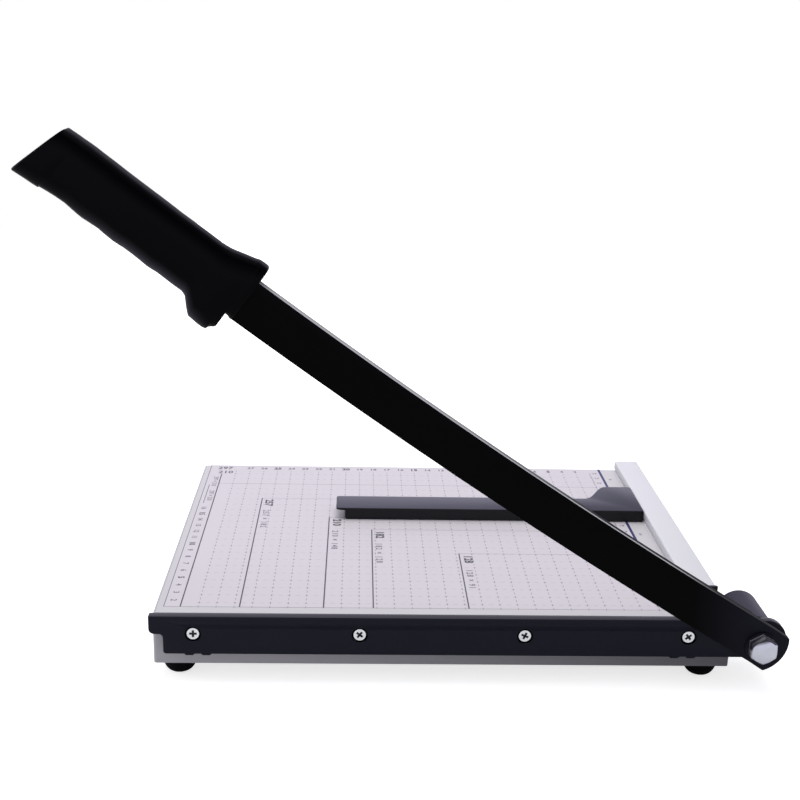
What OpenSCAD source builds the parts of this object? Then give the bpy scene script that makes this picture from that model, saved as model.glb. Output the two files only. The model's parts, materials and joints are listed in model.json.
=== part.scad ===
// Guillotine paper cutter for A4 sheets: a folded steel tray with a printed
// sheet, a cutting bar along its front edge, and a blade arm that hinges
// beside it. Millimetres, +Z up. The origin is the centre of the printed top.
// +X points to the hinge side and +Y away from the cutting bar.

/* [Board] */
// Width of the tray, along the cut
board_w = 325; // [290:1:400]
// Depth of the tray, from the cutting bar to the rear edge
board_d = 242; // [225:1:320]
// Height of the printed top above the tray's bottom
board_h = 31; // [27:0.5:45]
// Thickness of the printed sheet
sheet_t = 0.5; // [0.3:0.1:1]
// Margin of bare tray round the sheet, at the sides and the rear
sheet_margin = 1.9; // [1:0.1:4]
// Thickness of the tray's steel
tray_t = 1.2; // [0.8:0.1:2]
// Inner radius of the tray's bends
tray_bend_in_r = 0.6; // [0.3:0.1:2]
// Width of the flange that turns in round the tray's bottom
flange_w = 25; // [24:0.5:32]

/* [Feet] */
// Radius of a foot at its top
foot_r = 10; // [7:0.1:11]
// Radius of the flat that a foot stands on
foot_flat_r = 4.4; // [2:0.1:5]
// Height of a foot
foot_h = 10; // [7:0.5:14]
// Distance of a foot's centre from the tray's edges
foot_inset = 13; // [12.5:0.5:14]
// Radius of a foot screw
foot_screw_r = 2; // [1.5:0.1:2.5]
// Depth that a foot screw goes into its foot
foot_screw_depth = 6.5; // [4:0.5:6.5]

/* [Cutting bar] */
// Thickness of the cutting bar
bar_t = 5; // [4:0.1:8]
// Height of the cutting bar
bar_h = 22.7; // [20:0.1:26]
// Reach of the bar past the left edge of the board
bar_left_over = 1.5; // [0.5:0.1:6]
// Reach of the bar past the right edge of the board
bar_right_over = 29.5; // [27:0.5:36]
// Width of the ear at the bar's left end
ear_w = 7.8; // [6:0.1:12]
// Height of the ear
ear_h = 10.8; // [8:0.1:14]
// Number of screws that hold the bar
bar_screw_count = 4; // [2:1:5]
// Distance of the first bar screw from the left edge of the board
bar_screw_first = 22.9; // [19:0.1:30]
// Distance of the last bar screw from the right edge of the board
bar_screw_last = 25.8; // [19:0.1:30]
// Distance of the bar screws below the bar's top
bar_screw_drop = 10.6; // [9:0.1:12]
// Radius of a bar screw
bar_screw_r = 2; // [1.6:0.1:2.5]
// Radius of a bar screw's head
bar_head_r = 3.4; // [3.2:0.1:4]
// Width of the countersink left open round a bar screw's head
bar_sink_gap = 1.1; // [0.5:0.1:1.5]
// Width across flats of a bar nut
bar_nut_af = 7; // [6.5:0.1:8.5]
// Thickness of a bar nut
bar_nut_t = 3.2; // [2:0.1:4]

/* [Pivot] */
// Distance of the pivot from the right edge of the board
pivot_out = 12.9; // [12.4:0.1:16]
// Distance of the pivot below the middle of the cutting bar's height
pivot_drop = 0.5; // [0:0.1:1]
// Radius of the pivot bolt
bolt_r = 5; // [4:0.1:5.5]
// Width across flats of the bolt's head and of its nut
bolt_af = 14; // [13.6:0.1:17]
// Height of the bolt's head
bolt_head_h = 6; // [4:0.1:7]
// Radius of the washer under the head
head_washer_r = 8.9; // [8.7:0.1:11]
// Thickness of the washers on the pivot
washer_t = 1; // [0.8:0.1:2]
// Radius of the spacer between the arm and the bar
spacer_r = 9; // [7:0.1:11]
// Radial play of the arm on the bolt
pivot_play = 0.06; // [0.02:0.01:0.1]
// Axial play of the arm between its washers
arm_side_play = 0.1; // [0.05:0.01:0.3]
// Length of the compressed spring
spring_len = 20.6; // [14:0.1:24]
// Mean radius of the spring
spring_r = 7.2; // [6.8:0.1:7.8]
// Thickness of the spring's wire
spring_wire_d = 2; // [1.5:0.1:2.2]
// Number of the spring's turns
spring_turns = 5; // [3:1:6]
// Thickness of the pivot nut
pivot_nut_t = 8; // [6:0.5:10]
// Outer radius of the round cover over the spring
cover_r = 12.2; // [11.2:0.1:12.4]
// Wall of the round cover
cover_wall = 1.3; // [1:0.1:1.4]

/* [Arm] */
// Angle of the arm above the board, as it stands
arm_angle = 33.85; // [5:0.05:75]
// Thickness of the arm
arm_t = 5; // [3:0.1:6]
// Width of the arm
arm_w = 23.6; // [22:0.1:27]
// Distance of the arm's centre line above the pivot, at its ends
arm_lift = 0.65; // [0:0.05:1.5]
// Bow of the arm and its cutting edge, downward in the middle
arm_bow = 3.8; // [1:0.1:5]
// Length of the arm from the pivot to the grip
arm_len = 342.3; // [342:0.1:420]
// Reach of the arm behind the pivot
arm_tail = 14.7; // [13:0.1:20]
// Radius of the arm's rounded end
arm_tail_r = 19; // [14:0.1:26]
// Width of the tang
tang_w = 14; // [10:0.5:16]

/* [Blade] */
// Thickness of the blade
blade_t = 2; // [1:0.1:2.5]
// Gap between the blade and the cutting bar
shear_gap = 0.1; // [0.05:0.01:0.2]
// Distance of the blade's near end from the pivot
blade_start = 14; // [13:0.5:20]
// Distance of the blade's far end from the grip
blade_end_gap = 1.5; // [1:0.1:5]
// Reach of the cutting edge below the arm
blade_edge_drop = 0.8; // [0.4:0.1:2]
// Number of screws that hold the blade
blade_screw_count = 5; // [3:1:8]
// Radius of a blade screw
blade_screw_r = 1.75; // [1.2:0.05:2]
// Radius of a blade screw's head
blade_head_r = 3.4; // [2.8:0.1:4]

/* [Grip] */
// Length of the grip
grip_len = 127.8; // [110:0.1:150]
// Height that the grip's outline is scaled to
grip_h = 34; // [30:0.1:40]
// Share of the grip's length that the arm's tang takes up
tang_share = 0.72; // [0.5:0.01:0.8]
// Thickness of the grip, front to back
grip_w = 24; // [20:0.5:30]
// Slant of the grip's end
grip_slant = 11; // [0:0.1:16]
// Radius of a grip screw
grip_screw_r = 1.75; // [1.2:0.05:2.2]
// Radius of a grip screw's head
grip_head_r = 3.3; // [2.8:0.1:4]

/* [Fence] */
// Distance of the fence's guiding face from the right edge of the board
fence_in = 20.5; // [19.5:0.1:24]
// Width of the fence
fence_w = 16.5; // [15:0.1:18.5]
// Height of the fence
fence_h = 7.5; // [7:0.1:10]
// Distance of the fence's front end from the cutting bar
fence_front_gap = 25.2; // [20:0.1:60]
// Distance of the fence from the rear edge of the board
fence_rear_gap = 3.3; // [1:0.1:6]
// Height of the slot in the fence
slot_h = 1.6; // [1.4:0.1:2]
// Depth of the slot in the fence
slot_depth = 8; // [6.5:0.1:9]
// Height of the slot above the sheet
slot_rise = 0.5; // [0.4:0.1:0.8]
// Thickness of the fence's front cap
cap_t = 2; // [1:0.1:4]
// Overhang of the cap past the fence's outer side
cap_lip = 1; // [0.2:0.1:1.5]
// Radius of a fence screw
fence_screw_r = 1.5; // [1.2:0.1:2]

/* [Paper guide] */
// Distance of the guide from the rear edge of the board, as it stands
guide_rear = 58.7; // [50:0.1:100]
// Length of the guide, along the cut
guide_len = 205.5; // [150:0.5:240]
// Depth of the guide's bar
guide_bar_d = 22.3; // [18:0.1:30]
// Depth of the guide's head at the fence
guide_head_d = 45.3; // [40:0.1:60]
// Width of the guide's head, with its curved shoulder
guide_head_w = 36; // [30:0.5:60]
// Height of the guide above the sheet
guide_h = 8; // [7:0.1:12]
// Overhang of the guide's top plate at its left end
guide_over = 5.8; // [2:0.1:12]
// Thickness of the guide's top plate
guide_plate_t = 1.4; // [1:0.1:3]
// Gap between the guide and the fence
guide_gap = 0.3; // [0.2:0.05:0.6]
// Gap between the guide and the sheet
guide_lift = 0.3; // [0.2:0.05:0.4]
// Thickness of the guide's tongue
tongue_t = 1; // [0.8:0.1:1]
// Length of the guide's tongue, along the fence
tongue_len = 36; // [20:0.5:38]
// Reach of the tongue into the fence
tongue_in = 6; // [4:0.1:6.2]
// Radius of a tongue screw
tongue_screw_r = 1.2; // [1:0.1:1.4]

/* [Hidden] */

$fn = 64;
corner_steps = 6;
end_steps = 30;
// One overrun for all cuts, and the play of pieces that are fixed together
over = 1;
fit_play = 0.05;

// The planes that the pieces share
tray_bend_r = tray_t + tray_bend_in_r;
tray_top = -sheet_t;
tray_bottom = -board_h;
bar_back_y = -board_d / 2;
cut_y = bar_back_y - bar_t;
blade_back_y = cut_y - shear_gap;
arm_back_y = blade_back_y - blade_t;
arm_front_y = arm_back_y - arm_t;
pivot_x = board_w / 2 + pivot_out;
pivot_z = -bar_h / 2 - pivot_drop;

// Values of the cutting bar
bar_left_x = -board_w / 2 - bar_left_over;
bar_round_r = bar_h / 2;
bar_round_x = board_w / 2 + bar_right_over - bar_round_r;
ear_corner_r = 3;
ear_fillet_r = 2.4;
bar_corner_r = 1.6;
lug_in = 2.5;
lug_len = 15.3;
lug_gap = 3.4;
lug_drop = 0.95;
tab_len = (lug_len - lug_gap) / 2;
bar_screw_pitch = (board_w - bar_screw_first - bar_screw_last) / (bar_screw_count - 1);
bar_screw_z = -bar_screw_drop;
bar_head_sink = 0.6;
bar_head_t = 1.9;
bar_screw_end = 1;
bar_nut_r = bar_nut_af / 2 / cos(30);
cross_w = 1.3;
cross_len = 4.2;
cross_depth = 1.5;
cross_turns = [0, 38, 24, 52, 12];

// Values of the feet and their screws
foot_x = board_w / 2 - foot_inset;
foot_y = board_d / 2 - foot_inset;
foot_steps = 14;
foot_head_r = 3.4;
foot_head_t = 2.2;

// Values of the pivot
head_washer_y = arm_front_y - arm_side_play - washer_t;
bolt_head_y = head_washer_y - bolt_head_h;
bolt_corner_r = bolt_af / 2 / cos(30);
bolt_face_share = 0.945;
bolt_face_r = bolt_face_share * bolt_af / 2;
bolt_chamfer_angle = 30;
spacer_t = blade_t + shear_gap - arm_side_play;
seat_y = bar_back_y + washer_t;
spring_end_y = seat_y + spring_len;
nut_y = spring_end_y + washer_t;
bolt_end_y = nut_y + pivot_nut_t + 2 * washer_t;
cover_end_y = bolt_end_y + washer_t + cover_wall;
cover_len = cover_end_y - bar_back_y;
cover_round = cover_wall;
seat_r = cover_r - cover_wall - fit_play;
nut_washer_r = seat_r - 2 * fit_play;

// Values of the arm, drawn along -X from the pivot
arm_top = arm_lift + arm_w / 2;
arm_bottom = arm_lift - arm_w / 2;
arm_steps = 28;
bow_r = (pow(arm_len / 2, 2) + pow(arm_bow, 2)) / (2 * arm_bow);
bow_facets = 1800;
arm_tail_x = arm_tail - arm_tail_r;
tang_len = tang_share * grip_len;
tang_round_share = 0.25;
tang_round_r = tang_round_share * tang_w;
blade_bottom = arm_bottom - blade_edge_drop;
blade_end = arm_len - blade_end_gap;
blade_screw_margin = 22;
blade_screw_pitch = (blade_end - blade_start - 2 * blade_screw_margin) / (blade_screw_count - 1);
blade_screw_share = 0.75;
blade_screw_len = blade_t + blade_screw_share * arm_t;
blade_head_t = blade_head_r - blade_screw_r;
arm_mid_y = arm_front_y + arm_t / 2;

// Values of the grip
grip_ring_count = 32;
grip_round_share = 0.62;
// Along the grip: place, underside and top above the arm's line, thickness, slant
grip_shares = [
    [0.000, -0.337, 0.608, 0.84, 0.00],
    [0.025, -0.312, 0.602, 0.85, 0.00],
    [0.027, -0.577, 0.602, 0.86, 0.00],
    [0.054, -0.624, 0.590, 0.88, 0.00],
    [0.065, -0.692, 0.574, 0.88, 0.00],
    [0.085, -0.689, 0.559, 0.89, 0.00],
    [0.131, -0.671, 0.522, 0.90, 0.00],
    [0.150, -0.647, 0.514, 0.90, 0.00],
    [0.163, -0.601, 0.507, 0.89, 0.00],
    [0.186, -0.517, 0.503, 0.89, 0.00],
    [0.210, -0.428, 0.507, 0.88, 0.00],
    [0.225, -0.413, 0.511, 0.88, 0.00],
    [0.288, -0.396, 0.521, 0.88, 0.00],
    [0.366, -0.385, 0.534, 0.90, 0.00],
    [0.445, -0.365, 0.549, 0.93, 0.00],
    [0.520, -0.348, 0.567, 0.96, 0.00],
    [0.600, -0.332, 0.586, 0.98, 0.00],
    [0.680, -0.312, 0.605, 0.98, 0.02],
    [0.757, -0.289, 0.620, 0.98, 0.12],
    [0.810, -0.276, 0.630, 0.98, 0.25],
    [0.865, -0.276, 0.639, 0.98, 0.42],
    [0.895, -0.299, 0.644, 0.99, 0.55],
    [0.950, -0.305, 0.651, 1.00, 0.82],
    [0.988, -0.299, 0.645, 0.97, 0.96],
    [1.000, -0.282, 0.619, 0.90, 1.00]];
grip_screw_shares = [0.47, 0.86];
grip_bore_share = 0.3;
grip_bore_depth = grip_bore_share * grip_w;
grip_head_t = 2;
grip_grab_share = 0.8;
grip_screw_grab = grip_grab_share * arm_t;
grip_cross_turn = 45;

// Values of the fence
fence_x = board_w / 2 - fence_in;
fence_rear_y = board_d / 2 - fence_rear_gap;
fence_front_y = bar_back_y + fence_front_gap;
fence_len = fence_rear_y - fence_front_y;
fence_wall = 1.4;
fence_hollow_w = 6;
fence_screw_count = 3;
fence_screw_inset = 4.5;
fence_screw_x = fence_x + fence_w - fence_screw_inset;
fence_screw_margin = 20;
fence_screw_pitch = (fence_len - 2 * fence_screw_margin) / (fence_screw_count - 1);
fence_screw_share = 0.6;
fence_screw_depth = fence_screw_share * fence_h;
fence_head_r = 2 * fence_screw_r;
fence_head_share = 1.1;
fence_head_t = fence_head_share * fence_screw_r;
cap_plug_len = 8;

// Values of the paper guide
guide_x = fence_x - guide_gap;
guide_y = board_d / 2 - guide_rear - guide_head_d;
guide_left_x = fence_x - guide_len;
guide_steps = 14;
guide_flat_share = 0.486;
guide_end_r = 2;
tongue_y = guide_y + (guide_head_d - tongue_len) / 2;
tongue_z = slot_rise + (slot_h - tongue_t) / 2;
tongue_tab = 14;
tongue_screw_inset = 8;
tongue_head_share = 0.8;
tongue_head_t = tongue_head_share * tongue_t;
tongue_head_r = tongue_screw_r + tongue_head_t;
tongue_screw_share = 0.6;
tongue_screw_len = tongue_screw_share * guide_h;

// Points of an arc, from one angle to another
function arc(cx, cy, r, a0, a1, n) = [for (i = [0:n])
    [cx + r * cos(a0 + (a1 - a0) * i / n), cy + r * sin(a0 + (a1 - a0) * i / n)]];

// An XZ outline made into a plate that starts at y0 and goes back by t
module plate_y(y0, t) {
    translate([0, y0 + t, 0]) rotate([90, 0, 0]) linear_extrude(t) children();
}

// A round rod along +Y that starts at y0
module rod_y(y0, t, r) {
    translate([0, y0, 0]) rotate([-90, 0, 0]) cylinder(h = t, r = r);
}

// A cone along +Y, r0 at its front and r1 at its back
module cone_y(y0, t, r0, r1) {
    translate([0, y0, 0]) rotate([-90, 0, 0]) cylinder(h = t, r1 = r0, r2 = r1);
}

// A hexagonal prism along +Y with a corner at its top
module hex_y(y0, t, r) {
    translate([0, y0, 0]) rotate([-90, 0, 0]) rotate(30) cylinder(h = t, r = r, $fn = 6);
}

// A cross recess in the front face of a screw head, turned by a
module cross_cut(y0, a) {
    rotate([0, a, 0]) for (q = [0, 90]) rotate([0, q, 0])
        translate([-cross_len / 2, y0 - over, -cross_w / 2])
            cube([cross_len, cross_depth + over, cross_w]);
}

// The moving frame of the arm: -X along the arm from the pivot, raised
module on_arm() {
    translate([pivot_x, 0, pivot_z]) rotate([0, arm_angle, 0]) children();
}

// A rectangle with round corners, about the origin
module round_rect(w, d, r) {
    polygon(concat(arc(w / 2 - r, d / 2 - r, r, 0, 90, corner_steps),
        arc(r - w / 2, d / 2 - r, r, 90, 180, corner_steps),
        arc(r - w / 2, r - d / 2, r, 180, 270, corner_steps),
        arc(w / 2 - r, r - d / 2, r, 270, 360, corner_steps)));
}

// A wall outline with its two top corners rounded
module round_top(w, bottom, top, r) {
    polygon(concat([[-w / 2, bottom], [w / 2, bottom]],
        arc(w / 2 - r, top - r, r, 0, 90, corner_steps),
        arc(r - w / 2, top - r, r, 90, 180, corner_steps)));
}

// A box with its upright and top edges rounded, as folded steel has them
module bent_box(w, d, bottom, top, r) {
    intersection() {
        translate([0, 0, bottom]) linear_extrude(top - bottom) round_rect(w, d, r);
        plate_y(-d / 2 - over, d + 2 * over) round_top(w, bottom - over, top, r);
        rotate(90) plate_y(-w / 2 - over, w + 2 * over) round_top(d, bottom - over, top, r);
    }
}

function bar_screw_x(i) = bar_screw_first - board_w / 2 + i * bar_screw_pitch;
function fence_screw_y(i) = fence_front_y + fence_screw_margin + i * fence_screw_pitch;

module base_tray() {
    color("gainsboro") difference() {
        bent_box(board_w, board_d, tray_bottom, tray_top, tray_bend_r);
        bent_box(board_w - 2 * tray_t, board_d - 2 * tray_t, tray_bottom + tray_t,
            tray_top - tray_t, tray_bend_in_r);
        translate([flange_w - board_w / 2, flange_w - board_d / 2, tray_bottom - over])
            cube([board_w - 2 * flange_w, board_d - 2 * flange_w, tray_t + 2 * over]);
        for (i = [0:bar_screw_count - 1]) translate([bar_screw_x(i), 0, bar_screw_z])
            rod_y(bar_back_y - over, tray_t + 2 * over, bar_screw_r + fit_play);
        for (sx = [-1, 1], sy = [-1, 1]) translate([sx * foot_x, sy * foot_y, tray_bottom - over])
            cylinder(h = tray_t + 2 * over, r = foot_screw_r + fit_play);
        for (i = [0:fence_screw_count - 1])
            translate([fence_screw_x, fence_screw_y(i), tray_top - tray_t - over])
                cylinder(h = tray_t + 2 * over, r = fence_screw_r + fit_play);
    }
}

module grid_sheet() {
    color("whitesmoke") difference() {
        translate([sheet_margin - board_w / 2, -board_d / 2, -sheet_t])
            cube([board_w - 2 * sheet_margin, board_d - sheet_margin, sheet_t]);
        for (i = [0:fence_screw_count - 1])
            translate([fence_screw_x, fence_screw_y(i), -sheet_t - over])
                cylinder(h = sheet_t + 2 * over, r = fence_screw_r + fit_play);
    }
}

// Left ends of the tabs, two in each lug, near the first and the last screw
tab_lefts = [for (mid = [bar_screw_x(0) + lug_in, bar_screw_x(bar_screw_count - 1) - lug_in], k = [0, 1])
    mid - lug_len / 2 + k * (tab_len + lug_gap)];

// Outline of the cutting bar: ear, lugs for a latch, and the pivot end
module bar_outline() {
    step_x = bar_left_x + ear_w;
    polygon(concat([[bar_left_x, 0]],
        arc(bar_left_x + ear_corner_r, ear_corner_r - ear_h, ear_corner_r, 180, 270, corner_steps),
        arc(step_x - ear_fillet_r, -ear_h - ear_fillet_r, ear_fillet_r, 90, 0, corner_steps),
        arc(step_x + bar_corner_r, bar_corner_r - bar_h, bar_corner_r, 180, 270, corner_steps),
        [for (x = tab_lefts) each [[x, -bar_h], [x + lug_drop, -bar_h - lug_drop],
            [x + tab_len - lug_drop, -bar_h - lug_drop], [x + tab_len, -bar_h]]],
        arc(bar_round_x, -bar_round_r, bar_round_r, -90, 90, end_steps)));
}

module cutting_bar() {
    color("#23242e") difference() {
        plate_y(cut_y, bar_t) bar_outline();
        for (i = [0:bar_screw_count - 1]) translate([bar_screw_x(i), 0, bar_screw_z]) {
            rod_y(cut_y - over, bar_t + 2 * over, bar_screw_r + fit_play);
            rod_y(cut_y - over, bar_head_sink + over, bar_head_r + bar_sink_gap);
            cone_y(cut_y + bar_head_sink, bar_head_t, bar_head_r + fit_play, bar_screw_r + fit_play);
        }
        translate([pivot_x, 0, pivot_z]) rod_y(cut_y - over, bar_t + 2 * over, bolt_r + fit_play);
    }
}

module bar_screws() {
    nut_back_y = bar_back_y + tray_t + bar_nut_t;
    color("silver") for (i = [0:bar_screw_count - 1])
        translate([bar_screw_x(i), 0, bar_screw_z]) difference() {
            union() {
                cone_y(cut_y + bar_head_sink, bar_head_t, bar_head_r, bar_screw_r);
                rod_y(cut_y + bar_head_sink + bar_head_t, nut_back_y + bar_screw_end - cut_y
                    - bar_head_sink - bar_head_t, bar_screw_r);
            }
            cross_cut(cut_y + bar_head_sink, cross_turns[i % len(cross_turns)]);
        }
}

module bar_nuts() {
    color("silver") for (i = [0:bar_screw_count - 1])
        translate([bar_screw_x(i), 0, bar_screw_z]) difference() {
            hex_y(bar_back_y + tray_t, bar_nut_t, bar_nut_r);
            rod_y(bar_back_y + tray_t - over, bar_nut_t + 2 * over, bar_screw_r + fit_play);
        }
}

// One dome foot at a corner of the tray, given by the signs of its place
module foot(sx, sy) {
    color("#0c0c0d") translate([sx * foot_x, sy * foot_y, tray_bottom]) difference() {
        rotate_extrude() polygon(concat([[0, 0]], [for (i = [0:foot_steps])
            [foot_flat_r + (foot_r - foot_flat_r) * cos(90 * i / foot_steps),
             -foot_h * sin(90 * i / foot_steps)]], [[0, -foot_h]]));
        translate([0, 0, -foot_screw_depth - fit_play])
            cylinder(h = foot_screw_depth + fit_play + over, r = foot_screw_r + fit_play);
    }
}

module foot_screws() {
    color("silver") for (sx = [-1, 1], sy = [-1, 1])
        translate([sx * foot_x, sy * foot_y, tray_bottom]) {
            translate([0, 0, -foot_screw_depth])
                cylinder(h = foot_screw_depth + tray_t, r = foot_screw_r);
            translate([0, 0, tray_t]) cylinder(h = foot_head_t, r1 = foot_head_r, r2 = foot_screw_r);
        }
}

module fence() {
    hollow_z = slot_rise + slot_h + fence_wall;
    hollow_h = fence_h - fence_wall - hollow_z;
    color("#e6e6ee") difference() {
        translate([fence_x, fence_front_y, 0]) cube([fence_w, fence_len, fence_h]);
        translate([fence_x - over, fence_front_y - over, slot_rise])
            cube([slot_depth + over, fence_len + 2 * over, slot_h]);
        translate([fence_x + fence_wall, fence_front_y - over, hollow_z])
            cube([fence_hollow_w, fence_len + 2 * over, hollow_h]);
        for (i = [0:fence_screw_count - 1]) translate([fence_screw_x, fence_screw_y(i), -over])
            cylinder(h = fence_screw_depth + fit_play + over, r = fence_screw_r + fit_play);
    }
}

module fence_cap() {
    hollow_z = slot_rise + slot_h + fence_wall;
    hollow_h = fence_h - fence_wall - hollow_z;
    color("#101012") union() {
        translate([fence_x, fence_front_y - cap_t, 0]) cube([fence_w + cap_lip, cap_t, fence_h]);
        translate([fence_x + fence_wall + fit_play, fence_front_y - cap_t / 2, hollow_z + fit_play])
            cube([fence_hollow_w - 2 * fit_play, cap_plug_len, hollow_h - 2 * fit_play]);
    }
}

module fence_screws() {
    color("silver") for (i = [0:fence_screw_count - 1])
        translate([fence_screw_x, fence_screw_y(i), tray_top - tray_t]) {
            cylinder(h = tray_t + sheet_t + fence_screw_depth, r = fence_screw_r);
            translate([0, 0, -fence_head_t])
                cylinder(h = fence_head_t, r1 = fence_screw_r, r2 = fence_head_r);
        }
}

module pivot_bolt() {
    color("lightsteelblue") translate([pivot_x, 0, pivot_z]) {
        intersection() {
            hex_y(bolt_head_y, bolt_head_h, bolt_corner_r);
            cone_y(bolt_head_y, bolt_head_h, bolt_face_r,
                bolt_face_r + bolt_head_h / tan(bolt_chamfer_angle));
        }
        rod_y(bolt_head_y + bolt_head_h / 2, bolt_end_y - bolt_head_y - bolt_head_h / 2, bolt_r);
    }
}

// A flat ring on the pivot
module pivot_ring(y0, t, r, hole_r) {
    translate([pivot_x, 0, pivot_z]) difference() {
        rod_y(y0, t, r);
        rod_y(y0 - over, t + 2 * over, hole_r);
    }
}

module head_washer() {
    color("#2a2a30") pivot_ring(head_washer_y, washer_t, head_washer_r, bolt_r + fit_play);
}

module spacer_washer() {
    color("#8a8a92") pivot_ring(cut_y - spacer_t, spacer_t, spacer_r, bolt_r + fit_play);
}

module spring_seat() {
    color("#8a8a92") pivot_ring(bar_back_y, washer_t, seat_r, bolt_r + fit_play);
}

module nut_washer() {
    color("#8a8a92") pivot_ring(spring_end_y, washer_t, nut_washer_r, bolt_r + fit_play);
}

// Centre line of the spring, wound about +Y between its seat and the nut washer
spring_ring_count = 8;
spring_side_count = 6;
spring_climb = spring_len - spring_wire_d - 2 * fit_play;
spring_line = [for (i = [0:spring_turns * spring_ring_count])
    [pivot_x + spring_r * cos(360 * i / spring_ring_count),
     seat_y + fit_play + spring_wire_d / 2 + spring_climb * i / (spring_turns * spring_ring_count),
     pivot_z + spring_r * sin(360 * i / spring_ring_count)]];
spring_gap = min([for (i = [0:len(spring_line) - 1], j = [0:len(spring_line) - 1])
    if (j - i >= spring_ring_count / 2) norm(spring_line[j] - spring_line[i])]) - spring_wire_d;
echo(spring_least_gap = spring_gap);

module pivot_spring() {
    n = len(spring_line);
    s = spring_side_count;
    points = [for (i = [0:n - 1], k = [0:s - 1])
        spring_line[i] + spring_wire_d / 2 * (cos(360 * k / s)
            * [cos(360 * i / spring_ring_count), 0, sin(360 * i / spring_ring_count)]
            + sin(360 * k / s) * [0, 1, 0])];
    faces = concat([for (k = [1:s - 2]) [0, k + 1, k]],
        [for (k = [1:s - 2]) [(n - 1) * s, (n - 1) * s + k, (n - 1) * s + k + 1]],
        [for (i = [0:n - 2], k = [0:s - 1]) [i * s + k, i * s + (k + 1) % s, (i + 1) * s + k]],
        [for (i = [0:n - 2], k = [0:s - 1])
            [i * s + (k + 1) % s, (i + 1) * s + (k + 1) % s, (i + 1) * s + k]]);
    color("silver") polyhedron(points, faces);
}

module pivot_nut() {
    color("lightsteelblue") translate([pivot_x, 0, pivot_z]) difference() {
        hex_y(nut_y, pivot_nut_t, bolt_corner_r);
        rod_y(nut_y - over, pivot_nut_t + 2 * over, bolt_r + fit_play);
    }
}

module pivot_cover() {
    color("#46444f") translate([pivot_x, 0, pivot_z]) rotate([-90, 0, 0])
        translate([0, 0, bar_back_y]) rotate_extrude() polygon(concat(
            [[cover_r - cover_wall, 0], [cover_r, 0]],
            arc(cover_r - cover_round, cover_len - cover_round, cover_round, 0, 90, corner_steps),
            [[0, cover_len], [0, cover_len - cover_wall],
             [cover_r - cover_wall, cover_len - cover_wall]]));
}

// How far the bow lowers the arm at a distance from the pivot
function bow_drop(u) = sqrt(pow(bow_r, 2) - pow(u - arm_len / 2, 2)) - bow_r + arm_bow;

// Points of an edge of the arm between two distances, at a height above the bow
function bowed(u0, u1, v) = [for (i = [0:arm_steps]) let (u = u0 + (u1 - u0) * i / arm_steps)
    [-u, v - bow_drop(u)]];

// Outline of the arm with its tang, along -X from the pivot
module arm_outline() {
    tail_angle = asin(arm_w / 2 / arm_tail_r);
    mid = arm_lift;
    tang_end = -arm_len - tang_len;
    polygon(concat(bowed(arm_len, 0, arm_bottom),
        arc(arm_tail_x, mid, arm_tail_r, -tail_angle, tail_angle, end_steps),
        bowed(0, arm_len, arm_top), [[-arm_len, mid + tang_w / 2]],
        arc(tang_end + tang_round_r, mid + tang_w / 2 - tang_round_r, tang_round_r, 90, 180, corner_steps),
        arc(tang_end + tang_round_r, mid - tang_w / 2 + tang_round_r, tang_round_r, 180, 270, corner_steps),
        [[-arm_len, mid - tang_w / 2]]));
}

function blade_screw_u(i) = blade_start + blade_screw_margin + i * blade_screw_pitch;
function blade_screw_at(i) = [-blade_screw_u(i), 0, arm_lift - bow_drop(blade_screw_u(i))];
function grip_screw_x(k) = -arm_len - grip_screw_shares[k] * tang_len;

module arm_bar() {
    color("#0f0f11") on_arm() difference() {
        plate_y(arm_front_y, arm_t) arm_outline();
        rod_y(arm_front_y - over, arm_t + 2 * over, bolt_r + pivot_play);
        for (i = [0:blade_screw_count - 1]) translate(blade_screw_at(i)) {
            rod_y(blade_back_y - blade_screw_len - fit_play, blade_screw_len + fit_play + over,
                blade_screw_r + fit_play);
            cone_y(blade_back_y - blade_head_t, blade_head_t, blade_screw_r + fit_play,
                blade_head_r + fit_play);
        }
        for (k = [0:len(grip_screw_shares) - 1]) translate([grip_screw_x(k), 0, arm_lift])
            rod_y(arm_back_y - grip_screw_grab - fit_play, grip_screw_grab + fit_play + over,
                grip_screw_r + fit_play);
    }
}

// The blade's lower end, with its ground bevel, is the rim of a wide cone
module blade() {
    below = 2 * (arm_bow + blade_edge_drop);
    color("#77787f") on_arm() difference() {
        intersection() {
            plate_y(arm_back_y, blade_t) polygon(concat(bowed(blade_end, blade_start, arm_top),
                [[-blade_start, blade_bottom - below], [-blade_end, blade_bottom - below]]));
            translate([-arm_len / 2, arm_back_y, blade_bottom - arm_bow + bow_r]) rotate([-90, 0, 0])
                cylinder(h = blade_t, r1 = bow_r - blade_edge_drop, r2 = bow_r, $fn = bow_facets);
        }
        for (i = [0:blade_screw_count - 1]) translate(blade_screw_at(i)) {
            rod_y(arm_back_y - over, blade_t + 2 * over, blade_screw_r + fit_play);
            cone_y(blade_back_y - blade_head_t, blade_head_t, blade_screw_r + fit_play,
                blade_head_r + fit_play);
        }
    }
}

module blade_screws() {
    color("silver") on_arm() for (i = [0:blade_screw_count - 1])
        translate(blade_screw_at(i)) {
            rod_y(blade_back_y - blade_screw_len, blade_screw_len - blade_head_t, blade_screw_r);
            cone_y(blade_back_y - blade_head_t, blade_head_t, blade_screw_r, blade_head_r);
        }
}

// One point of the grip's skin: ring i, point k
function grip_point(i, k) = let (s = grip_shares[i], a = 360 * k / grip_ring_count,
    low = arm_lift + s[1] * grip_h, high = arm_lift + s[2] * grip_h,
    cy = sign(cos(a)) * pow(abs(cos(a)), grip_round_share),
    cz = sign(sin(a)) * pow(abs(sin(a)), grip_round_share),
    z = (low + high) / 2 + (high - low) / 2 * cz)
    [-arm_len - s[0] * grip_len + s[4] * grip_slant * (z - low) / (high - low),
     arm_mid_y + grip_w / 2 * s[3] * cy, z];

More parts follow.
